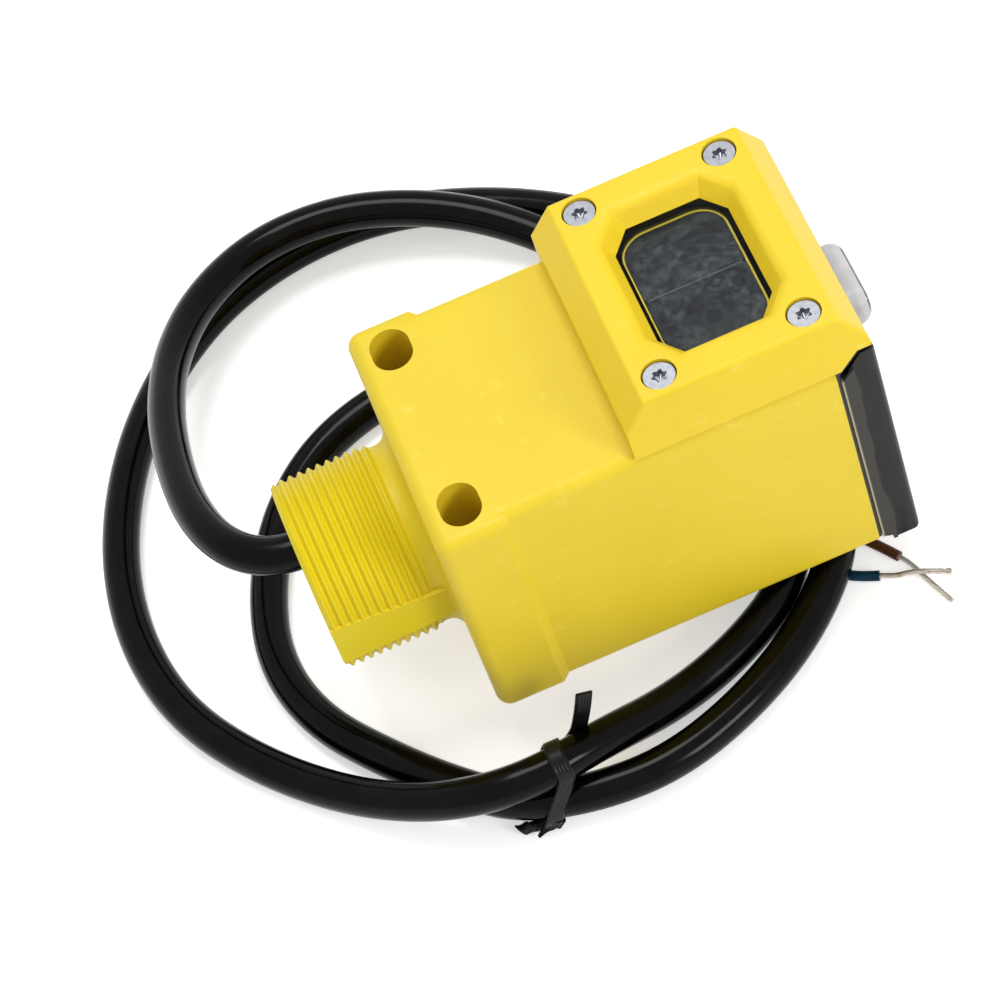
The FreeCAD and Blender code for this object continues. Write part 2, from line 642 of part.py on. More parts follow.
def control_plate():
    """The dark plate that closes the housing's mouth under the cover, with a hole for the indicator."""
    body = new_body("control_plate", (PLATE_BACK, "0", "0"))
    outline = new_sketch(body, "YZ_Plane", "PlateOutline")
    rounded(outline, "body_width-2*rim_wall-2*fit_gap", "body_depth-2*rim_wall-2*fit_gap",
            "body_edge*0.6-fit_gap", "0", MIDDLE)
    circle(outline, "indicator_diameter+0.1", "0", DOME_Z)
    pad(body, outline, "PlatePad", "plate_thickness")
    frame = new_sketch(body, "YZ_Plane", "LabelField", "plate_thickness")
    rounded(frame, "body_width-2*rim_wall-2*label_margin", "body_depth-2*rim_wall-2*label_margin",
            "body_edge", "0", MIDDLE)
    circle(frame, "indicator_diameter+3", "0", DOME_Z)
    pocket(body, frame, "LabelFieldCut", "label_depth")
    return body


# Tangent of 22.5 degrees, by which a 45 degree corner moves when its sides are drawn in
MITRE = "(sqrt(2)-1)"


def cover_profile(inset):
    """The cover's side view, drawn inwards by the given expression."""
    slant = "(" + MITRE + "*(" + inset + "))"
    under = BACK + "+body_depth+brow_rise-gasket_thickness-cover_gap-(" + inset + ")"
    corner_x = "(optic_place+bezel_heel+brow_rise+" + MITRE + "*(gasket_thickness+cover_gap)+" + slant + ")"
    start = COVER_START if inset == "0" else "(" + COVER_START + "-1)"
    low_corner_z = under + "-(" + corner_x + "-" + start + ")"
    top = COVER_TOP + "-(" + inset + ")"
    return start, under, corner_x, low_corner_z, top


def top_cover():
    """The smoked cover: a hollow cap with a flange, a clear dome and knuckles round the hinge pins."""
    body = new_body("top_cover")
    start, under, corner_x, low_z, top = cover_profile("0")
    outer = new_sketch(body, "XZ_Plane", "CoverProfile")
    polygon(outer, [(start, HINGE_Z), (HINGE_X, BACK + "+0.05"), (top, BACK + "+0.05"), (top, under),
                    (corner_x, under), (start, low_z)])
    pad(body, outer, "CoverPad", "body_width", both=True)
    end_x = worth(COVER_TOP)
    round_edges(body, "CoverEdges", "cover_edge",
                lambda e: near(e.BoundBox.XMin, end_x) and e.BoundBox.XLength < 0.01)

    flange = new_sketch(body, "XZ_Plane", "FlangeProfile")
    polygon(flange, [(start, HINGE_Z), (HINGE_X, BACK + "+0.05"), (start + "+flange_height", BACK + "+0.05"),
                     (start + "+flange_height", low_z + "+flange_height"), (start, low_z)])
    pad(body, flange, "FlangePad", "body_width+2*flange_lip", both=True)

    dome = new_sketch(body, "YZ_Plane", "DomeOutline", COVER_TOP + "-cover_wall/2")
    rounded(dome, "dome_width", "dome_length", "dome_corner", "0", DOME_Z)
    pad(body, dome, "DomePad", "dome_height+cover_wall/2")
    dome_x = worth(COVER_TOP + "+dome_height")
    round_edges(body, "DomeEdges", "dome_edge",
                lambda e: near(e.BoundBox.XMin, dome_x) and e.BoundBox.XLength < 0.01)

    inside = new_sketch(body, "XZ_Plane", "InsideProfile")
    start, under, corner_x, low_z, top = cover_profile("cover_wall")
    sill = HINGE_Z + "+knuckle_radius+0.25"
    polygon(inside, [(start, sill), (top, sill), (top, under), (corner_x, under), (start, low_z)])
    pocket(body, inside, "InsideCut", "body_width-2*cover_wall", both=True)
    hollow = new_sketch(body, "YZ_Plane", "DomeInside", COVER_TOP + "-cover_wall-0.5")
    rounded(hollow, "dome_width-2*cover_wall", "dome_length-2*cover_wall", "dome_corner-cover_wall",
            "0", DOME_Z)
    pocket(body, hollow, "DomeInsideCut", "dome_height+0.5", back=True)

    room = new_sketch(body, "XZ_Plane", "KnuckleClearance")
    polygon(room, [(COVER_START + "-1", BACK + "-1"), (HINGE_X, BACK + "-1"), (HINGE_X, HINGE_Z),
                   (COVER_START + "-1", HINGE_Z)])
    pocket(body, room, "KnuckleClearanceCut", "body_width*2", both=True)
    knuckle = new_sketch(body, "XZ_Plane", "Knuckle")
    circle(knuckle, "2*knuckle_radius", HINGE_X, HINGE_Z)
    pad(body, knuckle, "KnucklePad", "body_width-1", both=True)
    for side in ("+", "-"):
        name = "Near" if side == "-" else "Far"
        gap = new_sketch(body, "XZ_Plane", name + "EarGap", "-(" + side + "ear_place)-ear_width/2-fit_gap")
        polygon(gap, [(COVER_START + "-1", BACK + "-1"), (HINGE_X + "+hinge_rise+0.3", BACK + "-1"),
                      (HINGE_X + "+hinge_rise+0.3", sill), (COVER_START + "-1", sill)])
        pocket(body, gap, name + "EarGapCut", "ear_width+2*fit_gap", back=True)
    bore = new_sketch(body, "XZ_Plane", "PinBore")
    circle(bore, "pin_diameter+0.06", HINGE_X, HINGE_Z)
    pocket(body, bore, "PinBoreCut", "2*ear_place+pin_length+fit_gap", both=True)
    return body


def cover_seal():
    """The black gasket round the housing's mouth, with a lip along the slanted seat under the brow."""
    body = new_body("cover_seal")
    ring = new_sketch(body, "YZ_Plane", "SealRing", "body_length")
    rounded(ring, "body_width-0.4", "body_depth-0.4", "body_edge-0.2", "0", MIDDLE)
    rounded(ring, "body_width-2*rim_wall", "body_depth-2*rim_wall", "body_edge*0.6", "0", MIDDLE)
    pad(body, ring, "SealRingPad", "gasket_thickness")
    lip = new_sketch(body, "XZ_Plane", "SealLip")
    heel = "(optic_place+bezel_heel)"
    shift = MITRE + "*gasket_thickness"
    step = "(" + heel + "+" + shift + "-body_length)"
    polygon(lip, [("body_length", FRONT + "-rim_wall"), ("body_length", FRONT), (heel, FRONT),
                  (heel + "+brow_rise", FRONT + "+brow_rise"),
                  ("optic_place+brow_reach-0.6", FRONT + "+brow_rise"),
                  ("optic_place+brow_reach-0.6", FRONT + "+brow_rise-gasket_thickness"),
                  (heel + "+brow_rise+" + shift, FRONT + "+brow_rise-gasket_thickness"),
                  ("body_length+gasket_thickness", FRONT + "-" + step),
                  ("body_length+gasket_thickness", FRONT + "-rim_wall")])
    pad(body, lip, "SealLipPad", "body_width-0.6", both=True)
    for side in ("+", "-"):
        name = "Near" if side == "-" else "Far"
        gap = new_sketch(body, "YZ_Plane", name + "SealGap", "body_length-1")
        polygon(gap, [(side + "ear_place-(ear_width/2+fit_gap)", BACK + "-1"),
                      (side + "ear_place+(ear_width/2+fit_gap)", BACK + "-1"),
                      (side + "ear_place+(ear_width/2+fit_gap)", HINGE_Z + "+knuckle_radius+fit_gap"),
                      (side + "ear_place-(ear_width/2+fit_gap)", HINGE_Z + "+knuckle_radius+fit_gap")])
        pocket(body, gap, name + "SealGapCut", "gasket_thickness+2", back=True)
    return body


def hinge_pins():
    """Two short steel pins, one through each ear into the cover's knuckles."""
    pins = []
    for name, side in (("FarPin", "+"), ("NearPin", "-")):
        pin = named("Cylinder", name, Radius="pin_diameter/2", Height="pin_length")
        pin.Placement.Rotation = FreeCAD.Rotation(V(1, 0, 0), -90)
        place(pin, (HINGE_X, side + "ear_place-pin_length/2", HINGE_Z))
        pins.append(pin)
    group = joined("Compound", "hinge_pins", pins)
    doc.recompute()
    return group


def potting():
    """The black compound that seals the cable in the barrel, and the jacketed cable inside it."""
    at = ("potting_recess-barrel_length", "0", "0")
    plug = named("Cylinder", "PottingBlank", Radius="bore_diameter/2", Height="potting_length")
    hole = named("Cylinder", "PottingBore", Radius="cable_diameter/2", Height="potting_length+2",
                 x="-cable_shift_z", y="cable_shift_y", z="-1")
    fill = less("potting", plug, hole)
    fill.Placement.Rotation = FreeCAD.Rotation(V(0, 1, 0), 90)
    place(fill, at)
    inner_length = "barrel_length-potting_recess+2"
    tail = named("Cylinder", "inner_cable", Radius="cable_diameter/2", Height=inner_length)
    tail.Placement.Rotation = FreeCAD.Rotation(V(0, 1, 0), 90)
    place(tail, ("potting_recess-barrel_length", "cable_shift_y", "cable_shift_z"))
    doc.recompute()
    return [fill, tail]


def tube(label, points, diameter):
    """A round tube along straight runs joined by tangent arcs, as large as the runs allow."""
    points = [V(*p) for p in points]
    edges, radii = [], []
    last = points[0]
    for i in range(1, len(points) - 1):
        back = points[i - 1] - points[i]
        ahead = points[i + 1] - points[i]
        trim = 0.45 * min(back.Length, ahead.Length)
        turn = math.pi - back.getAngle(ahead)
        radii.append(trim / math.tan(turn / 2))
        back.normalize()
        ahead.normalize()
        begin = points[i] + back * trim
        end = points[i] + ahead * trim
        inward = (back + ahead).normalize()
        reach = radii[-1] / math.cos(turn / 2) - radii[-1]
        edges.append(Part.LineSegment(last, begin).toShape())
        edges.append(Part.Arc(begin, points[i] + inward * reach, end).toShape())
        last = end
    edges.append(Part.LineSegment(last, points[-1]).toShape())
    path = Part.Wire(edges)
    start = points[1] - points[0]
    ring = Part.Wire([Part.makeCircle(diameter / 2, points[0], start)])
    solid = path.makePipeShell([ring], True, False)
    expected = math.pi * diameter ** 2 / 4 * path.Length
    print("%s: length %.1f, volume over section times length %.4f, least radius %.1f"
          % (label, path.Length, solid.Volume / expected, min(radii)))
    print("  radii " + " ".join("%.0f" % r for r in radii))
    thing = doc.addObject("Part::Feature", label)
    thing.Shape = solid
    return thing, path


def least_gap(path, diameter):
    """The tube's least gap to itself, measured on points along its line."""
    count = int(path.Length / 1.5)
    points = path.discretize(Number=count)
    apart = int(6 * diameter / path.Length * count)
    least = min((points[i] - points[j]).Length
                for i in range(count) for j in range(i + apart, count))
    return least - diameter


# The level that the coil lies on, and the heights of a strand that rests there
FLOOR = worth(BACK + "-floor_drop")
LAID = round(FLOOR + size("cable_diameter") / 2 - size("cable_flat"), 3)
BARE = round(FLOOR + size("wire_diameter") / 2 + 0.005, 3)
EXIT_X = worth("potting_recess-barrel_length")
EXIT_Y = size("cable_shift_y")
EXIT_Z = size("cable_shift_z")

# The cable's route: out of the barrel, twice round, over itself at the tie, to its cut end
CABLE_ROUTE = [
    (EXIT_X, EXIT_Y, EXIT_Z), (-22.2, EXIT_Y, EXIT_Z), (-28.8, 9.4, 2.0), (-31.8, 20.8, -0.4),
    (-31.8, 35.0, -4.6), (-30.2, 49.0, -9.0), (-26.4, 62.8, -13.8), (-18.8, 74.6, -17.2),
    (-7.0, 81.8, -18.8), (6.8, 82.2, -19.4), (19.8, 77.6, -20.6), (31.2, 70.2, -22.7),
    (41.2, 59.4, -25.4), (48.2, 45.8, LAID), (51.0, 31.6, LAID), (52.2, 17.6, -25.2), (52.6, 5.0, -24.12),
    (52.2, -7.0, -24.12), (48.0, -18.0, -25.4), (37.5, -24.5, LAID), (24.7, -29.6, -25.6),
    (11.2, -34.2, -20.2), (1.4, -37.0, -18.4), (-8.6, -35.6, -19.2), (-18.4, -29.2, -23.2),
    (-28.4, -19.8, LAID), (-38.2, -8.6, LAID), (-45.6, 4.4, LAID), (-48.6, 18.8, LAID),
    (-47.8, 33.6, LAID), (-43.6, 47.8, LAID), (-36.6, 61.0, LAID), (-26.6, 72.6, LAID),
    (-14.2, 80.8, LAID), (0.4, 84.6, LAID), (15.0, 83.8, LAID), (28.8, 78.2, LAID), (41.6, 69.6, LAID),
    (53.0, 57.6, LAID), (58.2, 44.2, LAID), (59.7, 30.4, LAID), (60.0, 17.0, -25.2), (59.9, 5.0, -24.12),
    (60.4, -7.4, -24.12), (57.4, -18.2, -24.3), (45.7, -27.7, -26.1), (33.4, -34.8, LAID),
    (20.4, -39.2, -26.1), (8.4, -39.2, -25.4), (-2.8, -35.8, -25.4), (-11.0, -27.6, LAID),
    (-19.2, -17.6, LAID), (-26.8, -6.2, LAID), (-29.6, 7.2, LAID), (-26.6, 21.0, LAID),
    (-20.4, 33.4, LAID), (-10.8, 43.0, LAID), (2.4, 47.8, LAID), (15.6, 46.8, LAID), (27.2, 40.4, LAID),
    (36.0, 31.0, LAID), (41.2, 20.8, LAID), (44.4, 11.4, LAID),
]
# The two conductors from the cut end to where their insulation is stripped, then the bare strands
BLUE_ROUTE = [(43.55, 11.12, LAID), (44.9, 7.2, -27.1), (47.4, 0.6, BARE), (52.0, -9.6, BARE),
              (57.0, -17.4, BARE), (60.8, -21.9, BARE)]
BROWN_ROUTE = [(45.25, 11.68, LAID), (46.9, 7.9, -27.2), (50.2, 1.8, BARE), (56.6, -7.8, BARE),
               (62.2, -14.8, BARE), (64.9, -19.4, BARE)]
BLUE_STRAND_ROUTE = [(60.86, -21.98, BARE), (62.12, -23.47, BARE), (64.8, -24.2, -28.2),
                     (67.8, -24.7, -27.95), (71.2, -25.6, -28.4)]
BROWN_STRAND_ROUTE = [(64.95, -19.49, BARE), (66.1, -21.5, -28.7), (67.3, -25.6, -28.95),
                      (69.0, -30.4, -28.95)]
# The leads inside the housing, from the cable to the board's terminal posts
BLUE_LEAD_ROUTE = [(2.05, 2.7, 2.2), (6.0, 2.7, 2.2), (11.4, 0.4, 1.0), (15.2, -2.8, -1.6),
                   (17.0, -4.0, -5.4), (17.0, -4.0, -9.2)]
BROWN_LEAD_ROUTE = [(2.05, 4.5, 2.2), (6.0, 4.5, 2.2), (11.4, 5.3, 1.0), (15.2, 4.6, -1.6),
                    (17.0, 4.0, -5.4), (17.0, 4.0, -9.2)]


def cords():
    """The cable, its two conductors and their bare ends, and the leads inside the housing."""
    wire, strand = size("wire_diameter"), size("strand_diameter")
    cable, line = tube("cable", CABLE_ROUTE, size("cable_diameter"))
    print("cable: least gap to itself %.2f" % least_gap(line, size("cable_diameter")))
    # Only what is above the floor is kept, so the coil rests on flat faces and not on a line
    room = cable.Shape.BoundBox
    room.enlarge(size("cable_diameter"))
    above = Part.makeBox(room.XLength, room.YLength, room.ZLength, V(room.XMin, room.YMin, FLOOR))
    cable.Shape = cable.Shape.common(above)
    pieces = [cable]
    for label, route, diameter in (
            ("blue_wire", BLUE_ROUTE, wire), ("brown_wire", BROWN_ROUTE, wire),
            ("blue_strands", BLUE_STRAND_ROUTE, strand), ("brown_strands", BROWN_STRAND_ROUTE, strand),
            ("blue_lead", BLUE_LEAD_ROUTE, wire), ("brown_lead", BROWN_LEAD_ROUTE, wire)):
        pieces.append(tube(label, route, diameter)[0])
    return pieces


# Where the tie goes round the two strands: their centres in the tie's plane
TIE_X = 6.3
TIE_UPPER = (-35.6, -19.35)
TIE_LOWER = (-38.4, -25.45)
TIE_GAP = 0.2


def strap(radius):
    """The outline round both strands: two half rounds and two straight sides."""
    upper = V(TIE_X, *TIE_UPPER)
    lower = V(TIE_X, *TIE_LOWER)
    along = (upper - lower).normalize()
    side = V(1, 0, 0).cross(along)
    a, b = upper + side * radius, upper - side * radius
    c, d = lower - side * radius, lower + side * radius
    return Part.Wire([
        Part.Arc(a, upper + along * radius, b).toShape(), Part.LineSegment(b, c).toShape(),
        Part.Arc(c, lower - along * radius, d).toShape(), Part.LineSegment(d, a).toShape(),
    ])


def cable_tie(cable):
    """The flat black tie round the crossing of the two strands, with its twist and two tails."""
    width, thick = size("tie_width"), size("tie_thickness")
    inner = size("cable_diameter") / 2 + TIE_GAP
    band = Part.Face(strap(inner + thick)).cut(Part.Face(strap(inner))).extrude(V(width, 0, 0))
    band.translate(V(-width / 2, 0, 0))
    crown = TIE_UPPER[1] + inner + thick / 2
    tail = Part.makeBox(width, thick, size("tie_tail"))
    tail.translate(V(-width / 2, -thick / 2, 0))
    tail.rotate(V(0, 0, 0), V(0, 1, 0), size("tie_lean"))
    tail.translate(V(TIE_X, TIE_UPPER[0], crown - thick / 2))
    short = Part.makeBox(size("tie_stub"), thick, width)
    short.rotate(V(0, 0, 0), V(0, 0, 1), size("tie_swing"))
    short.translate(V(TIE_X, TIE_LOWER[0] - inner - thick * 0.2, TIE_LOWER[1] - width / 2))
    thing = doc.addObject("Part::Feature", "cable_tie")
    thing.Shape = band.multiFuse([tail, short]).cut(cable.Shape)
    return thing


pieces = [housing(), lens_bezel(), bezel_screws()]
pieces += window_pieces()
pieces += [lens_block(), lens_carrier()]
pieces += lamps()
pieces += board()
pieces += [control_plate(), top_cover(), cover_seal(), hinge_pins()]
pieces += potting()
pieces += cords()
pieces.append(cable_tie(pieces[-7]))
doc.recompute()

for thing in doc.Objects:
    if "Invalid" in thing.State or "Error" in thing.State:
        raise RuntimeError("bad state: " + thing.Name)
os.makedirs("parts", exist_ok=True)
for piece in pieces:
    if piece.Shape.isNull() or not piece.Shape.isValid():
        raise RuntimeError("bad shape: " + piece.Label)
    piece.Shape.exportStep("parts/" + piece.Label + ".step")
    print("%s: %d solid(s), %.0f cubic mm" % (piece.Label, len(piece.Shape.Solids), piece.Shape.Volume))
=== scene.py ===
import math

import bpy
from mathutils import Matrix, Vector


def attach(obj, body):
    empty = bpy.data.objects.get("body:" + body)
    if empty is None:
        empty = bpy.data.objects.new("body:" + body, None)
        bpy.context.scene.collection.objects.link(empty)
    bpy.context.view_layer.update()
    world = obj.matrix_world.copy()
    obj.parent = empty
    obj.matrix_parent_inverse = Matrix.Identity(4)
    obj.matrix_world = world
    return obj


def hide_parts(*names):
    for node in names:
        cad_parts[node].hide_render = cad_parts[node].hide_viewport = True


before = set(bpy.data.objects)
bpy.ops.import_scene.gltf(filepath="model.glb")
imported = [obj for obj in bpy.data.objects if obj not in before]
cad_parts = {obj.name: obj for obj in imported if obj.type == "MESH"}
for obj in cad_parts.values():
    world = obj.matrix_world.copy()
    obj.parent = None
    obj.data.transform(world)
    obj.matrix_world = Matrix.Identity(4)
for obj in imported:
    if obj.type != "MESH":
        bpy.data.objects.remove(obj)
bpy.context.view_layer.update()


# Camera: the photograph's view, from above the near long side with a long lens.
# Its place and turn come from matching corners and holes of the object to the photograph.
def put_in_scene(name, data):
    """A new object with this data, in the scene's own collection."""
    piece = bpy.data.objects.new(name, data)
    bpy.context.scene.collection.objects.link(piece)
    return piece


camera_data = bpy.data.cameras.new("photo_camera")
camera_data.lens = 151.82
camera_data.sensor_width = 36
camera_data.clip_start = 0.01
camera_data.clip_end = 20
camera = put_in_scene("photo_camera", camera_data)
camera.location = (-0.001809, -0.383375, 0.502097)
camera.rotation_euler = (math.radians(35.32298), math.radians(12.87968), math.radians(-19.53134))
bpy.context.scene.camera = camera


# Cable: one length of round black jacketed cable, glossy and fairly stiff, potted in the barrel.
# It makes two loose turns under and beside the housing, and its last end is cut off under it.
def texture_noise(tree, place, scale, detail=3.0, rough=0.5):
    """A cloud of noise on the piece's own coordinates, in metres."""
    noise = tree.nodes.new("ShaderNodeTexNoise")
    noise.inputs["Scale"].default_value = scale
    noise.inputs["Detail"].default_value = detail
    noise.inputs["Roughness"].default_value = rough
    tree.links.new(place, noise.inputs["Vector"])
    return noise.outputs["Fac"]


def spread(tree, source, low, high, out_low, out_high):
    """A number from the source, stretched from one range to another."""
    remap = tree.nodes.new("ShaderNodeMapRange")
    for key, value in (("From Min", low), ("From Max", high), ("To Min", out_low), ("To Max", out_high)):
        remap.inputs[key].default_value = value
    tree.links.new(source, remap.inputs["Value"])
    return remap.outputs["Result"]


def between(tree, factor, first, second):
    """A colour between two colours."""
    mix = tree.nodes.new("ShaderNodeMix")
    mix.data_type = "RGBA"
    for socket, colour in (("A", first), ("B", second)):
        place = [s for s in mix.inputs if s.name == socket and s.type == "RGBA"][0]
        if isinstance(colour, tuple):
            place.default_value = (*colour, 1)
        else:
            tree.links.new(colour, place)
    tree.links.new(factor, [s for s in mix.inputs if s.name == "Factor" and s.type == "VALUE"][0])
    return [s for s in mix.outputs if s.type == "RGBA"][0]


def bumped(tree, height, strength, depth, normal=None):
    """A normal that the height disturbs, on top of another one."""
    bump = tree.nodes.new("ShaderNodeBump")
    bump.inputs["Strength"].default_value = strength
    bump.inputs["Distance"].default_value = depth
    tree.links.new(height, bump.inputs["Height"])
    if normal is not None:
        tree.links.new(normal, bump.inputs["Normal"])
    return bump.outputs["Normal"]


def new_finish(name):
    """An empty material with its tree, its shader and the piece's own coordinates."""
    finish = bpy.data.materials.new(name)
    finish.use_nodes = True
    tree = finish.node_tree
    place = tree.nodes.new("ShaderNodeTexCoord").outputs["Object"]
    return finish, tree, tree.nodes["Principled BSDF"], place


def jacket(name, colour, pale, gloss):
    """Extruded insulation: smooth, with faint waves and dust that dull the gloss here and there."""
    finish, tree, shader, place = new_finish(name)
    dust = spread(tree, texture_noise(tree, place, scale=260, detail=6, rough=0.6), 0.45, 0.75, 0, 1)
    tree.links.new(between(tree, dust, colour, pale), shader.inputs["Base Color"])
    waves = texture_noise(tree, place, scale=120)
    tree.links.new(spread(tree, waves, 0.3, 0.7, gloss - 0.04, gloss + 0.06), shader.inputs["Roughness"])
    tree.links.new(bumped(tree, waves, 0.12, 0.0004), shader.inputs["Normal"])
    shader.inputs["Specular IOR Level"].default_value = 0.1
    return finish


def cord_curve(name, points, radius, finish):
    """A round cord on a smooth line, with the points as its control points."""
    line = bpy.data.curves.new(name, "CURVE")
    line.dimensions = "3D"
    spline = line.splines.new("NURBS")
    spline.points.add(len(points) - 1)
    for point, place in zip(spline.points, points):
        point.co = (*place, 1)
    spline.order_u = 3
    spline.use_endpoint_u = True
    spline.resolution_u = 10
    line.resolution_u = 10
    line.bevel_depth = radius
    line.bevel_resolution = 6
    line.use_fill_caps = True
    line.materials.append(finish)
    return put_in_scene(name, line)


floor_height = -0.0294
cable_radius = 0.00305
laid = floor_height + cable_radius
under_box = -0.02412
cable_black = jacket("cable_jacket_black", (0.0006, 0.0008, 0.0007), (0.003, 0.0032, 0.003), 0.15)
cable_route = [
    (-0.0179, 0.0036, 0.0022), (-0.0222, 0.0036, 0.0022), (-0.0288, 0.0094, 0.002),
    (-0.0318, 0.0208, -0.0004), (-0.0318, 0.035, -0.0046), (-0.0302, 0.049, -0.009),
    (-0.0264, 0.0628, -0.0138), (-0.0188, 0.0746, -0.0172), (-0.007, 0.0818, -0.0188),
    (0.0068, 0.0822, -0.0194), (0.0198, 0.0776, -0.0206), (0.0312, 0.0702, -0.0227),
    (0.0412, 0.0594, -0.0254), (0.0482, 0.0458, laid), (0.051, 0.0316, laid),
    (0.0522, 0.0176, -0.0252), (0.0526, 0.005, under_box), (0.0522, -0.007, under_box),
    (0.048, -0.018, -0.0254), (0.0375, -0.0245, laid), (0.0247, -0.0296, -0.0256),
    (0.0112, -0.0342, -0.0202), (0.0014, -0.037, -0.0184), (-0.0086, -0.0356, -0.0192),
    (-0.0184, -0.0292, -0.0232), (-0.0284, -0.0198, laid), (-0.0382, -0.0086, laid),
    (-0.0456, 0.0044, laid), (-0.0486, 0.0188, laid), (-0.0478, 0.0336, laid),
    (-0.0436, 0.0478, laid), (-0.0366, 0.061, laid), (-0.0266, 0.0726, laid),
    (-0.0142, 0.0808, laid), (0.0004, 0.0846, laid), (0.015, 0.0838, laid),
    (0.0288, 0.0782, laid), (0.0416, 0.0696, laid), (0.053, 0.0576, laid),
    (0.0582, 0.0442, laid), (0.0597, 0.0304, laid), (0.06, 0.017, -0.0252),
    (0.0599, 0.005, under_box), (0.0601, -0.0072, under_box), (0.0562, -0.018, -0.0243),
    (0.0457, -0.0277, -0.0261), (0.0334, -0.0348, laid), (0.0204, -0.0392, -0.0261),
    (0.0084, -0.0392, -0.0254), (-0.0028, -0.0358, -0.0254), (-0.011, -0.0276, laid),
    (-0.0192, -0.0176, laid), (-0.0268, -0.0062, laid), (-0.0296, 0.0072, laid),
    (-0.0266, 0.021, laid), (-0.0204, 0.0334, laid), (-0.0108, 0.043, laid),
    (0.0024, 0.0478, laid), (0.0156, 0.0468, laid), (0.0272, 0.0404, laid),
    (0.036, 0.031, laid), (0.0412, 0.0208, laid), (0.0444, 0.0114, laid),
]
cable = cord_curve("emitter_cable", cable_route, cable_radius, cable_black)
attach(cable, "base")
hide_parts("cable")

# Conductors: two thin wires in blue and brown plastic insulation, that come out of the cable's cut end.
# They lie close together on the table, and both are stripped at the far end.
wire_radius = 0.000825
wire_laid = -0.02857
wire_blue = jacket("wire_insulation_blue", (0.002, 0.026, 0.055), (0.006, 0.045, 0.09), 0.3)
wire_brown = jacket("wire_insulation_brown", (0.09, 0.035, 0.015), (0.14, 0.06, 0.03), 0.3)
blue_route = [
    (0.04355, 0.01112, laid), (0.0449, 0.0072, -0.0271), (0.0474, 0.0006, wire_laid),
    (0.0515, -0.0115, wire_laid), (0.0552, -0.0188, wire_laid), (0.0609, -0.02125, wire_laid),
]
brown_route = [
    (0.04525, 0.01168, laid), (0.0469, 0.0079, -0.0272), (0.0502, 0.0018, wire_laid),
    (0.0566, -0.0078, wire_laid), (0.0622, -0.0148, wire_laid), (0.0649, -0.0194, wire_laid),
]
blue_wire = cord_curve("blue_conductor", blue_route, wire_radius, wire_blue)
brown_wire = cord_curve("brown_conductor", brown_route, wire_radius, wire_brown)
for wire, node in ((blue_wire, "blue_wire"), (brown_wire, "brown_wire")):
    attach(wire, "base")
    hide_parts(node)


# Bare ends: seven fine tinned copper wires twisted together, bright, with copper showing through.
# The insulation has been pulled off them, and they spring apart a little at the tip.
def line_points(points):
    """Points along the smooth line that these control points give."""
    piece = cord_curve("strand_line", points, 0, None)
    mesh = bpy.data.meshes.new_from_object(piece)
    found = [v.co.copy() for v in mesh.vertices]
    line = piece.data
    bpy.data.objects.remove(piece)
    bpy.data.curves.remove(line)
    bpy.data.meshes.remove(mesh)
    return found


def deselect_all():
    """Nothing is left selected, not the loaded pieces either."""
    bpy.ops.object.select_all(action="DESELECT")


def take(piece):
    """The piece is the only one selected, and it is active."""
    deselect_all()
    piece.select_set(True)
    bpy.context.view_layer.objects.active = piece


def edit_all():
    """Opens the active piece with all of it selected."""
    bpy.ops.object.mode_set(mode="EDIT")
    bpy.ops.mesh.select_all(action="SELECT")


def face_outwards():
    """Turns all faces of the open piece outwards, and ends its editing."""
    bpy.ops.mesh.select_all(action="SELECT")
    bpy.ops.mesh.normals_make_consistent(inside=False)
    bpy.ops.object.mode_set(mode="OBJECT")


def twisted_strands(name, points, turn_length, core_radius, strand_radius, fray, finish):
    """Six strands wound about a seventh, which part towards the tip."""
    wound, opens_from, late_twist = 6, 0.7, 0.97
    line = line_points(points)
    curve = bpy.data.curves.new(name, "CURVE")
    curve.dimensions = "3D"
    curve.bevel_depth = strand_radius
    curve.bevel_resolution = 3
    curve.use_fill_caps = True
    side = (line[1] - line[0]).cross(Vector((0, 0, 1))).normalized()
    frames, gone = [], [0.0]
    for i, here in enumerate(line):
        ahead = (line[min(i + 1, len(line) - 1)] - line[max(i - 1, 0)]).normalized()
        side = (side - ahead * side.dot(ahead)).normalized()
        frames.append((here, side, ahead.cross(side)))
        if i:
            gone.append(gone[-1] + (here - line[i - 1]).length)
    for strand in range(wound + 1):
        start = strand * math.tau / wound
        own_fray = fray * (1 + 0.6 * math.sin(3.7 * strand))
        path = []
        for (here, across, up), length in zip(frames, gone):
            share = length / gone[-1]
            open_out = 1 + own_fray * max(0.0, share - opens_from) ** 2
            out = core_radius * open_out if strand < wound else 0.0
            angle = start + length / turn_length * math.tau * (1 if share < opens_from else late_twist)
            path.append(here + across * math.cos(angle) * out + up * math.sin(angle) * out)
        spline = curve.splines.new("POLY")
        spline.points.add(len(path) - 1)
        for point, place in zip(spline.points, path):
            point.co = (*place, 1)
    curve.materials.append(finish)
    take(put_in_scene(name, curve))
    bpy.ops.object.convert(target="MESH")
    piece = bpy.context.view_layer.objects.active
    edit_all()
    bpy.ops.mesh.remove_doubles(threshold=1e-7)
    face_outwards()
    bpy.ops.object.shade_smooth_by_angle(angle=math.radians(50))
    return piece


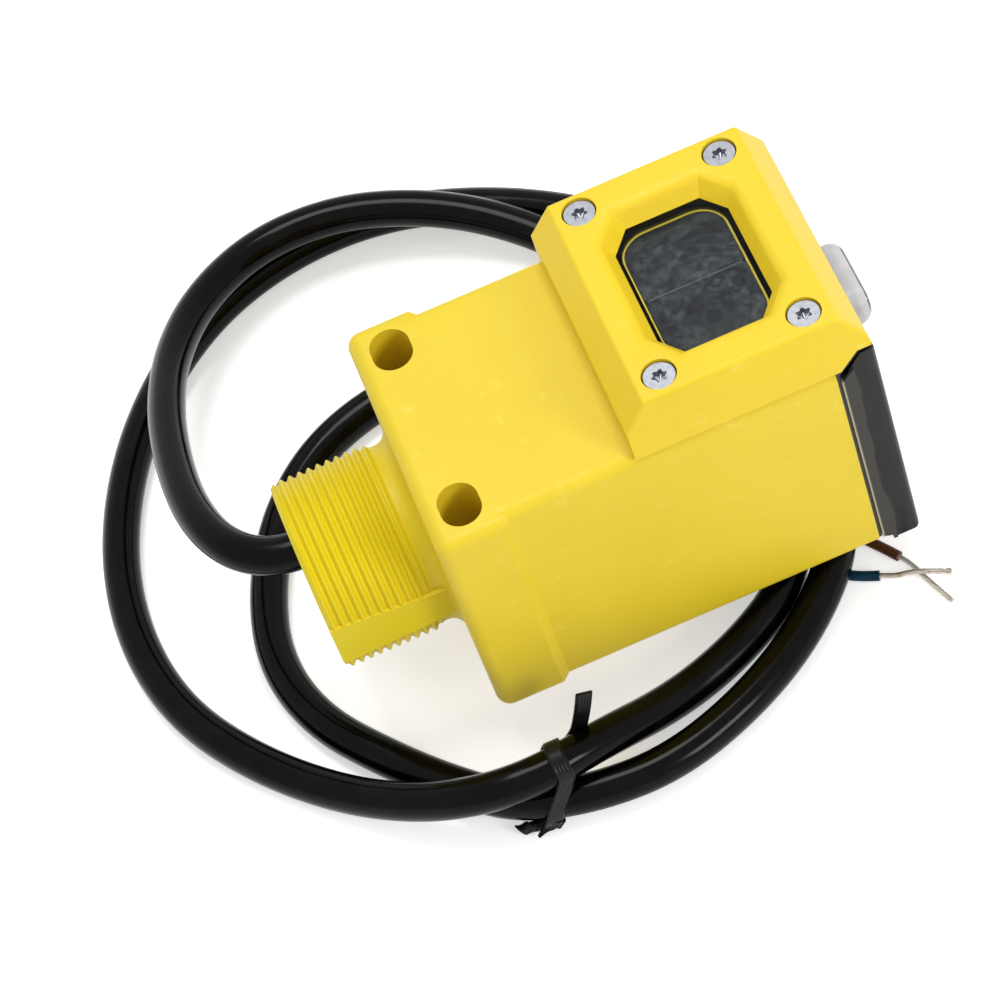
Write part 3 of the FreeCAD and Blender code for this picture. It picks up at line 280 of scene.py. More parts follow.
def tinned(name):
    """Bright tinned copper, with warm copper where the tin is thin."""
    finish, tree, shader, place = new_finish(name)
    thin = spread(tree, texture_noise(tree, place, scale=900, detail=4, rough=0.6), 0.5, 0.68, 0, 1)
    tin, copper = (0.5, 0.48, 0.44), (0.44, 0.31, 0.17)
    tree.links.new(between(tree, thin, tin, copper), shader.inputs["Base Color"])
    grain = texture_noise(tree, place, scale=5000, detail=2)
    tree.links.new(spread(tree, grain, 0.3, 0.7, 0.12, 0.26), shader.inputs["Roughness"])
    tree.links.new(bumped(tree, grain, 0.2, 0.00005), shader.inputs["Normal"])
    shader.inputs["Metallic"].default_value = 1
    return finish


tinned_copper = tinned("tinned_copper_wire")
blue_strand_route = [
    (0.0602, -0.02095, wire_laid), (0.06116, -0.02136, wire_laid), (0.0632, -0.0225, wire_laid),
    (0.0655, -0.0232, -0.0281), (0.0683, -0.0247, -0.0279), (0.0709, -0.0259, -0.0284),
]
brown_strand_route = [
    (0.0646, -0.0188, wire_laid), (0.06495, -0.01949, wire_laid), (0.0661, -0.0215, -0.0287),
    (0.0673, -0.0256, -0.02888), (0.069, -0.0304, -0.02886),
]
strand_sizes = {"turn_length": 0.0034, "core_radius": 0.00028, "strand_radius": 0.000145}
blue_strands = twisted_strands("blue_bare_end", blue_strand_route, fray=5,
                               finish=tinned_copper, **strand_sizes)
brown_strands = twisted_strands("brown_bare_end", brown_strand_route, fray=2,
                                finish=tinned_copper, **strand_sizes)
for strands, node in ((blue_strands, "blue_strands"), (brown_strands, "brown_strands")):
    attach(strands, "base")
    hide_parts(node)

# Tie: a flat ribbed tie of black plastic, put round the two turns of cable where they cross.
# Its ends are twisted together under the cable. One then stands up, and the other comes to a point.
tie_half_width = 0.0013
tie_half_thick = 0.0003
tie_ribs = 5
tie_reach = cable_radius + 0.00042


def ribbed_section(half_width, half_thick, ribs):
    """The tie's cross-section: ribs along both faces, as pairs of across and out."""
    rib_steps = 4
    steps = ribs * rib_steps
    top = []
    for i in range(steps + 1):
        across = -half_width + 2 * half_width * i / steps
        wave = 0.5 - 0.5 * math.cos(math.tau * i / rib_steps)
        ends = min(1.0, min(i, steps - i) / 2)
        top.append((across, half_thick * (0.45 + 0.3 * ends + 0.25 * wave)))
    return top + [(across, -out) for across, out in reversed(top)]


def ribbon(name, stations, section, finish):
    """A ribbon laid through the stations, each a place, a side direction, an outward one and a width."""
    ring = section + section[:1]
    deselect_all()
    bpy.ops.mesh.primitive_grid_add(x_subdivisions=len(ring) - 1, y_subdivisions=len(stations) - 1,
                                    size=0.01)
    piece = bpy.context.active_object
    piece.name = name
    corners = piece.data.vertices
    for row, (place, side, out, width) in enumerate(stations):
        for column, (across, up) in enumerate(ring):
            corners[row * len(ring) + column].co = place + side * across * width + out * up
    edit_all()
    bpy.ops.mesh.remove_doubles(threshold=1e-7)
    bpy.ops.mesh.select_all(action="DESELECT")
    bpy.ops.mesh.select_mode(type="EDGE")
    bpy.ops.mesh.select_non_manifold(extend=False)
    bpy.ops.mesh.edge_face_add()
    face_outwards()
    piece.data.materials.append(finish)
    bpy.ops.object.shade_smooth_by_angle(angle=math.radians(40))
    return piece


def matt_black(name, colour, pale, rough, grain=2500, gloss=0.5):
    """Black rubber or plastic with a dull, slightly dusty surface."""
    finish, tree, shader, place = new_finish(name)
    dust = spread(tree, texture_noise(tree, place, scale=500, detail=5, rough=0.6), 0.42, 0.75, 0, 1)
    tree.links.new(between(tree, dust, colour, pale), shader.inputs["Base Color"])
    fine = texture_noise(tree, place, scale=grain)
    tree.links.new(spread(tree, fine, 0.3, 0.7, rough - 0.08, rough + 0.08), shader.inputs["Roughness"])
    tree.links.new(bumped(tree, fine, 0.25, 0.00006), shader.inputs["Normal"])
    shader.inputs["Specular IOR Level"].default_value = gloss
    return finish


tie_black = matt_black("tie_plastic_black", (0.002, 0.002, 0.002), (0.007, 0.007, 0.007), 0.34, gloss=0.18)
tie_section = ribbed_section(tie_half_width, tie_half_thick, tie_ribs)


def upper_turn(x):
    """The middle of the upper turn of cable near the tie, which runs aside and down with x."""
    past = x - 0.0058
    return Vector((x, -0.0357 + 0.286 * past, -0.0193 - 0.18 * past))


def lower_turn(x):
    """The middle of the lower turn of cable near the tie, which runs aside with x."""
    past = x - 0.0009
    return Vector((x, -0.0373 - 0.3 * past, -0.0254))


def swept(x_at, degrees):
    """A number read off between the given pairs of degrees and number."""
    for (a, low), (b, high) in zip(x_at, x_at[1:]):
        if a <= degrees <= b:
            share = (degrees - a) / (b - a)
            return low + (high - low) * share * share * (3 - 2 * share)


def path_ribbon(name, places, outwards, widths):
    """The tie's ribbon along a path, with its flat side turned outwards."""
    stations = []
    for i, place in enumerate(places):
        ahead = (places[min(i + 1, len(places) - 1)] - places[max(i - 1, 0)]).normalized()
        side = outwards[i].cross(ahead).normalized()
        stations.append((place, side, ahead.cross(side), widths[i]))
    return ribbon(name, stations, tie_section, tie_black)


# The band goes over the upper turn and back under the lower one, and closes straight across
band, band_out = [], []
band_step, gap_steps, smoothings = 9, 6, 6
for turn, x_at in ((upper_turn, ((0, 0.0049), (90, 0.0044), (180, 0.0048))),
                   (lower_turn, ((180, 0.003), (270, 0.0), (360, 0.0002)))):
    for degrees in range(x_at[0][0], x_at[-1][0] + 1, band_step):
        tilt = math.radians(degrees)
        direction = Vector((0, -math.cos(tilt), math.sin(tilt)))
        band.append(turn(swept(x_at, degrees)) + direction * tie_reach)
        band_out.append(direction)
gap_from, gap_to = band[-1], band[0]
for step in range(1, gap_steps):
    band.append(gap_from.lerp(gap_to, step / gap_steps))
    band_out.append(band_out[-1].lerp(band_out[0], 1 / (gap_steps + 1 - step)).normalized())
for smoothing in range(smoothings):
    softer = [(before.x + 2 * here.x + after.x) / 4
              for before, here, after in zip(band[-1:] + band[:-1], band, band[1:] + band[:1])]
    for place, x in zip(band, softer):
        place.x = x
tie_band = path_ribbon("tie_band", band + band[:1], band_out + band_out[:1], [1.0] * (len(band) + 1))

# One end stands up past the upper turn
tail = line_points([(0.0050, -0.0323, -0.0236), (0.0070, -0.0321, -0.0212), (0.0091, -0.0322, -0.0186),
                    (0.0101, -0.0325, -0.0155), (0.0110, -0.0327, -0.0126), (0.0119, -0.0326, -0.0096)])
tie_tail = path_ribbon("tie_tail", tail, [Vector((0.1, -1, 0.35))] * len(tail), [1.0] * len(tail))

# The other end comes to a point in front of the lower turn
tip_tilt, tip_width, tip_narrowing = 0.4, 0.95, 0.8
tip_out = Vector((0, -math.cos(tip_tilt), -math.sin(tip_tilt)))
tip_start = lower_turn(0.0001) + tip_out * (tie_reach + tie_half_thick)
tip = line_points([tip_start + Vector((0.0003, 0, 0.0009)), tip_start,
                   (-0.0012, -0.0399, -0.0278), (-0.0025, -0.0402, -0.0286)])
tie_point = path_ribbon("tie_point", tip, [Vector((0, -1, 0.35))] * len(tip),
                        [tip_width - tip_narrowing * i / (len(tip) - 1) for i in range(len(tip))])

# The twist beside it is a short helix of the same ribbon, thickest in its middle
knot, knot_out = [], []
knot_steps, knot_turns = 48, 2.5
knot_start, knot_length = 0.0016, 0.0062
knot_radius, knot_swell, knot_width = 0.0003, 0.00045, 0.75
knot_place = Vector((0, -0.0022, -0.0028))
for step in range(knot_steps + 1):
    share = step / knot_steps
    tilt = math.tau * knot_turns * share
    x = knot_start - knot_length * share
    out = knot_radius + knot_swell * math.sin(math.pi * share)
    direction = Vector((0.0, -math.cos(tilt), math.sin(tilt)))
    knot.append(lower_turn(x) + knot_place + direction * out)
    knot_out.append(direction)
tie_knot = path_ribbon("tie_knot", knot, knot_out, [knot_width] * len(knot))
for piece in (tie_band, tie_tail, tie_point, tie_knot):
    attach(piece, "base")
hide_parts("cable_tie")


# Housing: one deep moulding of yellow glass-filled polyester with a satin skin.
# Its threaded barrel is moulded on, with two flats where the tool parts.
# Its wider end has two oval mounting slots, which go right through.
def copy_of_node(node, name):
    """A merged copy of a loaded node's mesh, as a piece of its own."""
    piece = put_in_scene(name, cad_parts[node].data.copy())
    piece.data.materials.clear()
    take(piece)
    bpy.ops.mesh.customdata_custom_splitnormals_clear()
    edit_all()
    bpy.ops.mesh.remove_doubles(threshold=1e-6)
    bpy.ops.object.mode_set(mode="OBJECT")
    return piece


def pick_edges(piece, wanted):
    """Opens the piece with those edges selected whose two ends the test takes."""
    take(piece)
    bpy.ops.object.mode_set(mode="EDIT")
    bpy.ops.mesh.select_mode(type="EDGE")
    bpy.ops.mesh.select_all(action="DESELECT")
    bpy.ops.object.mode_set(mode="OBJECT")
    corners = piece.data.vertices
    for edge in piece.data.edges:
        a, b = (corners[i].co for i in edge.vertices)
        edge.select = wanted(a, b)
    bpy.ops.object.mode_set(mode="EDIT")


def bisect_all(piece, place, normal, fill=False, drop_outer=False, drop_inner=False):
    """Cuts the whole piece with a plane."""
    take(piece)
    edit_all()
    bpy.ops.mesh.bisect(plane_co=place, plane_no=normal, use_fill=fill,
                        clear_outer=drop_outer, clear_inner=drop_inner, threshold=1e-7)
    bpy.ops.object.mode_set(mode="OBJECT")


def turned(name, profile, steps=128):
    """A profile of distances along X and radii, turned about the barrel's axis."""
    mesh = bpy.data.meshes.new(name)
    mesh.from_pydata([(x, 0, r) for x, r in profile], [(i, i + 1) for i in range(len(profile) - 1)], [])
    piece = put_in_scene(name, mesh)
    take(piece)
    turn = piece.modifiers.new("turn", "SCREW")
    turn.axis = "X"
    turn.angle = math.tau
    turn.steps = turn.render_steps = steps
    turn.use_merge_vertices = True
    turn.merge_threshold = 1e-6
    return piece


def axes(tree, place):
    """The place's three coordinates, one by one."""
    parts = tree.nodes.new("ShaderNodeSeparateXYZ")
    tree.links.new(place, parts.inputs["Vector"])
    return parts.outputs


def yellow_moulding(name, colour, deep):
    """Satin yellow moulding: a fine eroded grain, faint clouds, pale rub marks, and painted shade on the
    barrel.
    """
    finish, tree, shader, place = new_finish(name)
    rubbed, barrel_painted_shade = (0.95, 0.8, 0.2), (0.68, 0.535, 0.003)
    barrel_foot = (-0.0012, 0.0002)
    cloud = spread(tree, texture_noise(tree, place, scale=45, detail=4, rough=0.55), 0.35, 0.7, 0, 1)
    base = between(tree, cloud, colour, deep)
    rub = spread(tree, texture_noise(tree, place, scale=320, detail=6, rough=0.65), 0.6, 0.8, 0, 0.35)
    base = between(tree, rub, base, rubbed)
    # Painted shade: the barrel, where X is below the housing's end, takes a darker, deeper yellow.
    barrel = spread(tree, axes(tree, place)["X"], *barrel_foot, 1, 0)
    tree.links.new(between(tree, barrel, base, barrel_painted_shade), shader.inputs["Base Color"])
    grain = texture_noise(tree, place, scale=2600, rough=0.6)
    tree.links.new(spread(tree, grain, 0.3, 0.7, 0.42, 0.56), shader.inputs["Roughness"])
    broad = bumped(tree, texture_noise(tree, place, scale=160, detail=2), 0.06, 0.0006)
    tree.links.new(bumped(tree, grain, 0.12, 0.00006, broad), shader.inputs["Normal"])
    shader.inputs["Specular IOR Level"].default_value = 0.4
    return finish


housing_yellow = yellow_moulding("housing_yellow", (0.75, 0.566, 0.022), (0.71, 0.527, 0.016))
barrel_end = -0.0189
barrel_core = 0.01412
barrel_wall = (0.0125, 0.0152)
near = 0.00001

# The step to the mounting end slants, and the barrel's plain wall is drawn in to the thread's core
housing = copy_of_node("housing", "housing_shell")
shoulder, shoulder_slant, shoulder_width = 0.0115, 0.0015, 0.00125
body_half_width, body_half_depth, body_middle, body_rounding = 0.0210, 0.0216, 0.0006, 0.0018
for corner in housing.data.vertices:
    past_width = abs(corner.co.y) - body_half_width + body_rounding
    past_depth = abs(corner.co.z - body_middle) - body_half_depth + body_rounding
    proud = math.hypot(max(past_width, 0), max(past_depth, 0)) - body_rounding
    if abs(corner.co.x - shoulder) < near and proud > 0.0001:
        corner.co.x -= shoulder_slant * min(1.0, proud / shoulder_width)
    radius = math.hypot(corner.co.y, corner.co.z)
    if corner.co.x < near and barrel_wall[0] < radius < barrel_wall[1]:
        corner.co.y *= barrel_core / radius
        corner.co.z *= barrel_core / radius

# The thread is one ridge wound about the barrel, cut to its length and closed by a wall inside
thread_start, thread_end = barrel_end + 0.00002, -0.0021
thread_pitch, thread_crest, thread_root = 0.0015, 0.01497, 0.0143
first_groove, ridge_steps = -0.020605, 16
profile = []
for step in range(ridge_steps + 1):
    share = step / ridge_steps
    swell = 0.5 - 0.5 * math.cos(math.tau * share)
    profile.append((first_groove + thread_pitch * share, thread_root + (thread_crest - thread_root) * swell))
thread = turned("barrel_thread", profile, steps=144)
thread.modifiers["turn"].screw_offset = thread_pitch
thread.modifiers["turn"].iterations = 13
bpy.ops.object.modifier_apply(modifier="turn")
edit_all()
bpy.ops.mesh.remove_doubles(threshold=2e-6)
bpy.ops.object.mode_set(mode="OBJECT")
bisect_all(thread, (thread_start, 0, 0), (1, 0, 0), drop_inner=True)
bisect_all(thread, (thread_end, 0, 0), (1, 0, 0), drop_outer=True)

# It leads in with a chamfer at the barrel's end, and runs out before the neck
lead_in_radius = 0.0142
run_out_start, run_out_length, run_out_radius = thread_end - 0.0022, 0.0018, barrel_core + 0.00003
for corner in thread.data.vertices:
    radius = math.hypot(corner.co.y, corner.co.z)
    lead_in = lead_in_radius + corner.co.x - barrel_end
    fade = min(1.0, max(0.0, (corner.co.x - run_out_start) / run_out_length))
    wanted = min(radius, lead_in)
    wanted += (run_out_radius - wanted) * fade * fade * (3 - 2 * fade)
    corner.co.y *= wanted / radius
    corner.co.z *= wanted / radius
ring_inside = 0.0137
draw_in = ring_inside / lead_in_radius
for rim in (thread_start, thread_end):
    pick_edges(thread, lambda a, b: all(abs(p.x - rim) < 1e-6 for p in (a, b)))
    bpy.ops.mesh.extrude_edges_move()
    bpy.ops.transform.resize(value=(1, draw_in, draw_in), center_override=(rim, 0, 0))
    bpy.ops.object.mode_set(mode="OBJECT")
pick_edges(thread, lambda a, b: all(math.hypot(p.y, p.z) < ring_inside + 0.0002 for p in (a, b)))
bpy.ops.mesh.bridge_edge_loops()
face_outwards()

# The two lands narrow towards the housing, and the ridges end against their sides
land_half_width, land_taper = 0.0043, -0.0725
land_out_end, land_out_neck, land_inside = 0.01434, 0.01468, 0.0135
land_neck, land_rounding = -0.0002, 0.00025
lower_thread = put_in_scene("barrel_thread_lower", thread.data.copy())
bisect_all(thread, (barrel_end, 0, land_half_width), (-land_taper, 0, 1), fill=True, drop_inner=True)
bisect_all(lower_thread, (barrel_end, 0, -land_half_width), (land_taper, 0, 1), fill=True, drop_outer=True)
lands = []
for side in (1, -1):
    deselect_all()
    bpy.ops.mesh.primitive_cube_add(size=1)
    land = bpy.context.active_object
    land.name = "barrel_land"
    for corner in land.data.vertices:
        at_neck, outer = corner.co.x > 0, corner.co.y * side > 0
        x = land_neck if at_neck else barrel_end
        reach = (land_out_neck if at_neck else land_out_end) if outer else land_inside
        half = land_half_width + land_taper * (x - barrel_end)
        corner.co = (x, side * reach, half if corner.co.z > 0 else -half)
    pick_edges(land, lambda a, b: all(p.x < barrel_end + 1e-6 and abs(p.y) > ring_inside for p in (a, b)))
    bpy.ops.mesh.bevel(offset=land_rounding, segments=3)
    bpy.ops.object.mode_set(mode="OBJECT")
    lands.append(land)

# The neck is a smooth ring that flares out in a fillet to the housing's end wall
neck_proud, neck_edge, neck_sunk, neck_wall = 0.00004, 0.0001, 0.0003, 0.0005
neck_radius, neck_start, fillet = barrel_core + neck_proud, thread_end - neck_edge, 0.0021
neck = [(neck_start, neck_radius - neck_edge), (thread_end + neck_edge, neck_radius)]
for degrees in range(0, 91, 9):
    angle = math.radians(degrees)
    neck.append((neck_proud - fillet * (1 - math.sin(angle)), neck_radius + fillet * (1 - math.cos(angle))))
neck += [(neck_sunk, neck_radius + fillet + 2 * neck_edge), (neck_sunk, neck_radius - neck_wall),
         (neck_start, neck_radius - neck_wall), neck[0]]
barrel_neck = turned("barrel_neck", neck)
bpy.ops.object.modifier_apply(modifier="turn")
edit_all()
bpy.ops.mesh.remove_doubles(threshold=2e-6)
face_outwards()

take(housing)
for piece in (thread, lower_thread, barrel_neck, *lands):
    piece.select_set(True)
bpy.ops.object.join()
housing.data.materials.append(housing_yellow)
bpy.ops.object.shade_smooth_by_angle(angle=math.radians(28))
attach(housing, "base")
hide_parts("housing")


# Bezel: a thick moulding of the same yellow plastic, screwed on over the window, which it clamps.
# It has four screw recesses, an eight-sided opening, and a brow that roofs the cover's front end.
bezel_middle, bezel_face = 0.050, 0.0331
screw_along, screw_aside = 0.01115, 0.01675
screw_centres = [(bezel_middle + x * screw_along, y * screw_aside)
                 for x, y in ((1, 1), (-1, 1), (1, -1), (-1, -1))]
bezel = copy_of_node("lens_bezel", "clamping_bezel")

# The screws' round recesses are drawn in a little, to fit closely round the heads
recess_floor, recess_reach, recess_draw_in = 0.0300, 0.0033, 0.9
for corner in bezel.data.vertices:
    for x, y in screw_centres:
        if corner.co.z > recess_floor and math.hypot(corner.co.x - x, corner.co.y - y) < recess_reach:
            corner.co.x = x + (corner.co.x - x) * recess_draw_in
            corner.co.y = y + (corner.co.y - y) * recess_draw_in

# The opening's walls meet the face in a soft lip, cut by an eight-sided body of rings that flares out
rim_x, rim_y, cut_x, cut_y = 0.0110, 0.0148, 0.0070, 0.00964
rim_corners = [(cut_x, rim_y), (-cut_x, rim_y), (-rim_x, cut_y), (-rim_x, -cut_y),
               (-cut_x, -rim_y), (cut_x, -rim_y), (rim_x, -cut_y), (rim_x, cut_y)]
wall_lean = math.radians(56.5)
lip_radius, lip_steps = 0.0022, 5
lip_start = lip_radius * math.tan(wall_lean / 2)
flare_foot, flare_top = 0.0018, 0.0010
lip = [(-flare_foot, -flare_foot)]
for step in range(lip_steps + 1):
    angle = wall_lean * (1 - step / lip_steps)
    lip.append((lip_start - lip_radius * math.sin(angle), -lip_radius * (1 - math.cos(angle))))
lip.append((lip_start, flare_top))

deselect_all()
bpy.ops.mesh.primitive_circle_add(vertices=8, radius=rim_x, fill_type="NGON", location=(0, 0, 0))
flare = bpy.context.active_object
for corner, (x, y) in zip(flare.data.vertices, rim_corners):
    corner.co = (bezel_middle + x, y, bezel_face)
edit_all()
gone_across, gone_drop = 0.0, 0.0
for number, (across, drop) in enumerate(lip):
    if number:
        bpy.ops.mesh.extrude_region_move()
    wider = (rim_x + across) / (rim_x + gone_across)
    longer = (rim_y + across) / (rim_y + gone_across)
    bpy.ops.transform.resize(value=(wider, longer, 1), center_override=(bezel_middle, 0, 0))
    bpy.ops.transform.translate(value=(0, 0, drop - gone_drop))
    gone_across, gone_drop = across, drop
face_outwards()
take(bezel)
cut = bezel.modifiers.new("lip", "BOOLEAN")
cut.operation = "DIFFERENCE"
cut.solver = "EXACT"
cut.object = flare
bpy.ops.object.modifier_apply(modifier="lip")
bpy.data.objects.remove(flare)
bezel.data.materials.append(yellow_moulding("bezel_yellow", (0.79, 0.573, 0.014), (0.75, 0.537, 0.01)))
bpy.ops.object.shade_smooth_by_angle(angle=math.radians(28))
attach(bezel, "base")
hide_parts("lens_bezel")

# Bezel screws: four countersunk steel screws with flat heads and six-lobe sockets, zinc plated.
# Each sits in its own round recess and runs through the bezel into the housing.
screw_top = 0.0327
screw_flat_radius = 0.00236
screw_turns = (12, 40, 25, 5)
head_rings = ((0.0001, 1.038), (0.0002, 1.0), (0.0014, 0.455), (0.0016, 1.0))
socket_rings = ((0.00008, 0.95), (0.0009, 0.94), (0.0003, 0.3))
face_rings = (0.6, 0.82)
socket_radius, lobe_depth, lobes = 0.00104, 0.00019, 6


def six_lobe_screw():
    """One screw with its head's flat top at the origin's height, turned out of rings."""
    deselect_all()
    bpy.ops.mesh.primitive_circle_add(vertices=72, radius=screw_flat_radius, location=(0, 0, 0))
    piece = bpy.context.active_object
    edit_all()
    for drop, grow in head_rings:
        bpy.ops.mesh.extrude_region_move(TRANSFORM_OT_translate={"value": (0, 0, -drop)})
        bpy.ops.transform.resize(value=(grow, grow, 1))
    bpy.ops.mesh.edge_face_add()
    bpy.ops.object.mode_set(mode="OBJECT")
    pick_edges(piece, lambda a, b: a.z > -1e-7 and b.z > -1e-7)
    for width in face_rings:
        bpy.ops.mesh.extrude_edges_move()
        bpy.ops.transform.resize(value=(width, width, 1), center_override=(0, 0, 0))
    bpy.ops.object.mode_set(mode="OBJECT")
    rim = screw_flat_radius * math.prod(face_rings)
    for corner in piece.data.vertices:
        radius = math.hypot(corner.co.x, corner.co.y)
        if corner.co.z > -1e-7 and radius < rim * 1.02:
            angle = math.atan2(corner.co.y, corner.co.x)
            wanted = socket_radius + lobe_depth * math.cos(lobes * angle)
            corner.co.x *= wanted / radius
            corner.co.y *= wanted / radius
    reach = socket_radius + lobe_depth + 0.00003
    pick_edges(piece, lambda a, b: all(p.z > -1e-7 and math.hypot(p.x, p.y) < reach for p in (a, b)))
    for drop, grow in socket_rings:
        bpy.ops.mesh.extrude_edges_move(TRANSFORM_OT_translate={"value": (0, 0, -drop)})
        bpy.ops.transform.resize(value=(grow, grow, 1), center_override=(0, 0, 0))
    bpy.ops.mesh.edge_face_add()
    face_outwards()
    return piece


def plated(name, colour, warm, rough):
    """Plated or bare steel, with fine turning marks and a mottled sheen."""
    finish, tree, shader, place = new_finish(name)
    mottle = spread(tree, texture_noise(tree, place, scale=1400, detail=5, rough=0.6), 0.35, 0.65, 0, 1)
    tree.links.new(between(tree, mottle, colour, warm), shader.inputs["Base Color"])
    marks = texture_noise(tree, place, scale=5200, rough=0.7)
    tree.links.new(spread(tree, marks, 0.3, 0.7, rough - 0.08, rough + 0.1), shader.inputs["Roughness"])
    tree.links.new(bumped(tree, marks, 0.2, 0.00003), shader.inputs["Normal"])
    shader.inputs["Metallic"].default_value = 1
    return finish


zinc = plated("screw_zinc", (0.36, 0.372, 0.41), (0.28, 0.29, 0.32), 0.36)
for number, ((x, y), turn) in enumerate(zip(screw_centres, screw_turns), start=1):
    screw = six_lobe_screw()
    screw.name = "bezel_screw_%d" % number
    screw.data.materials.append(zinc)
    bpy.ops.object.shade_smooth_by_angle(angle=math.radians(30))
    screw.rotation_euler = (0, 0, math.radians(turn))
    screw.location = (x, y, screw_top)
    bpy.ops.object.transform_apply(location=True, rotation=True, scale=True)
    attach(screw, "base")
    if number == 1:
        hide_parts("bezel_screws")


# Window and its gasket: a clear flat pane of plastic, a little smudged, over the lens.
# The bezel presses it on a ring of black rubber, which shows as a dark line round the opening.
def finish_node(node, finish):
    """Gives a loaded node its finish."""
    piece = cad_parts[node]
    if not piece.material_slots:
        piece.data.materials.append(finish)
    for slot in piece.material_slots:
        slot.material = finish


def clear_plastic(name, colour, rough, smudge):
    """Clear plastic with faint smudges."""
    finish, tree, shader, place = new_finish(name)
    paler = tuple(min(1, c * 1.05) for c in colour)
    marks = spread(tree, texture_noise(tree, place, scale=420, detail=6, rough=0.65), 0.45, 0.75, 0, 1)
    tree.links.new(between(tree, marks, colour, paler), shader.inputs["Base Color"])
    tree.links.new(spread(tree, marks, 0, 1, rough, rough + smudge), shader.inputs["Roughness"])
    shader.inputs["Transmission Weight"].default_value = 1
    shader.inputs["IOR"].default_value = 1.2
    shader.inputs["Specular IOR Level"].default_value = 0.3
    return finish


finish_node("window", clear_plastic("window_clear", (0.93, 0.95, 0.96), 0.02, 0.1))
gasket_black = matt_black("gasket_rubber", (0.004, 0.004, 0.004), (0.012, 0.012, 0.012), 0.5)
finish_node("window_seal", gasket_black)


# Lens: one dark plastic moulding that passes only infrared, in two crowned halves, held in its carrier.
# A fine groove parts the halves, and the surface is cloudy from handling.
def combined(tree, operation, first, second=0.0):
    """What the operation makes of one or two numbers."""
    step = tree.nodes.new("ShaderNodeMath")
    step.operation = operation
    tree.links.new(first, step.inputs[0])
    if isinstance(second, float):
        step.inputs[1].default_value = second
    else:
        tree.links.new(second, step.inputs[1])
    return step.outputs[0]


def dark_lens_finish():
    """Blue-black plastic, cloudy with smudges, with faint turning rings and a painted highlight on its
    groove.
    """
    finish, tree, shader, place = new_finish("lens_dark")
    dark, smudged = (0.003, 0.0045, 0.006), (0.12, 0.13, 0.14)
    ring_tone, groove_painted_highlight = (0.05, 0.054, 0.06), (0.2, 0.21, 0.22)
    swirl = tree.nodes.new("ShaderNodeTexNoise")
    for key, value in (("Scale", 760), ("Detail", 10), ("Roughness", 0.78), ("Distortion", 0.3)):
        swirl.inputs[key].default_value = value
    tree.links.new(place, swirl.inputs["Vector"])
    handled = spread(tree, texture_noise(tree, place, scale=190, detail=2), 0.35, 0.65, 0.25, 1)
    fine = spread(tree, swirl.outputs["Fac"], 0.45, 0.75, 0, 1)
    smudge = combined(tree, "MULTIPLY", handled, fine)
    base = between(tree, smudge, dark, smudged)
    centre = tree.nodes.new("ShaderNodeMapping")
    centre.inputs["Location"].default_value = (-bezel_middle, 0.0075, 0)
    tree.links.new(place, centre.inputs["Vector"])
    rings = tree.nodes.new("ShaderNodeTexWave")
    rings.wave_type = "RINGS"
    rings.rings_direction = "Z"
    rings.inputs["Scale"].default_value = 95
    rings.inputs["Distortion"].default_value = 0.4
    tree.links.new(centre.outputs["Vector"], rings.inputs["Vector"])
    ring = spread(tree, rings.outputs["Fac"], 0.9, 1.0, 0, 0.3)
    base = between(tree, ring, base, ring_tone)
    # Painted highlight: a thin pale line along the groove between the halves, where Y is near nought.
    from_groove = combined(tree, "ABSOLUTE", axes(tree, place)["Y"])
    groove = spread(tree, from_groove, 0.00006, 0.00016, 0.4, 0)
    tree.links.new(between(tree, groove, base, groove_painted_highlight), shader.inputs["Base Color"])
    tree.links.new(spread(tree, smudge, 0, 1, 0.3, 0.5), shader.inputs["Roughness"])
    shader.inputs["Specular IOR Level"].default_value = 0.15
    return finish


lens_flange = 0.0267
lens_half_middle = 0.006025
lens_crown, lens_bow = 0.0015, 7.5
lens = copy_of_node("lens_block", "infrared_lens")
for corner in lens.data.vertices:
    if corner.co.z > lens_flange + 5 * near:
        from_middle = abs(corner.co.y) - lens_half_middle
        corner.co.z = lens_flange + lens_crown - lens_bow * from_middle ** 2
lens.data.materials.append(dark_lens_finish())
bpy.ops.object.shade_smooth_by_angle(angle=math.radians(28))
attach(lens, "base")
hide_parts("lens_block")

# Carrier: a tapered tube of matt black plastic that stands in the housing and holds the lens.
# Its two chambers keep stray light out and let the lamp shine up through one of them.
finish_node("lens_carrier", matt_black("carrier_black", (0.008, 0.008, 0.008), (0.02, 0.02, 0.02), 0.6))


# Lamps: a clear infrared lamp under the lens, and a small green indicator under the cover's dome.
# Both are cast in epoxy.
def lamp_finish(name, colour, deep):
    """Cast epoxy, faintly streaked."""
    finish, tree, shader, place = new_finish(name)
    streak = texture_noise(tree, place, scale=700, detail=4)
    tree.links.new(between(tree, streak, colour, deep), shader.inputs["Base Color"])
    tree.links.new(spread(tree, streak, 0.3, 0.7, 0.06, 0.16), shader.inputs["Roughness"])
    shader.inputs["Transmission Weight"].default_value = 0.7
    return finish


finish_node("infrared_led", lamp_finish("lamp_clear_epoxy", (0.8, 0.85, 0.95), (0.7, 0.76, 0.88)))
finish_node("indicator_led", lamp_finish("lamp_green_epoxy", (0.2, 0.75, 0.3), (0.14, 0.6, 0.22)))


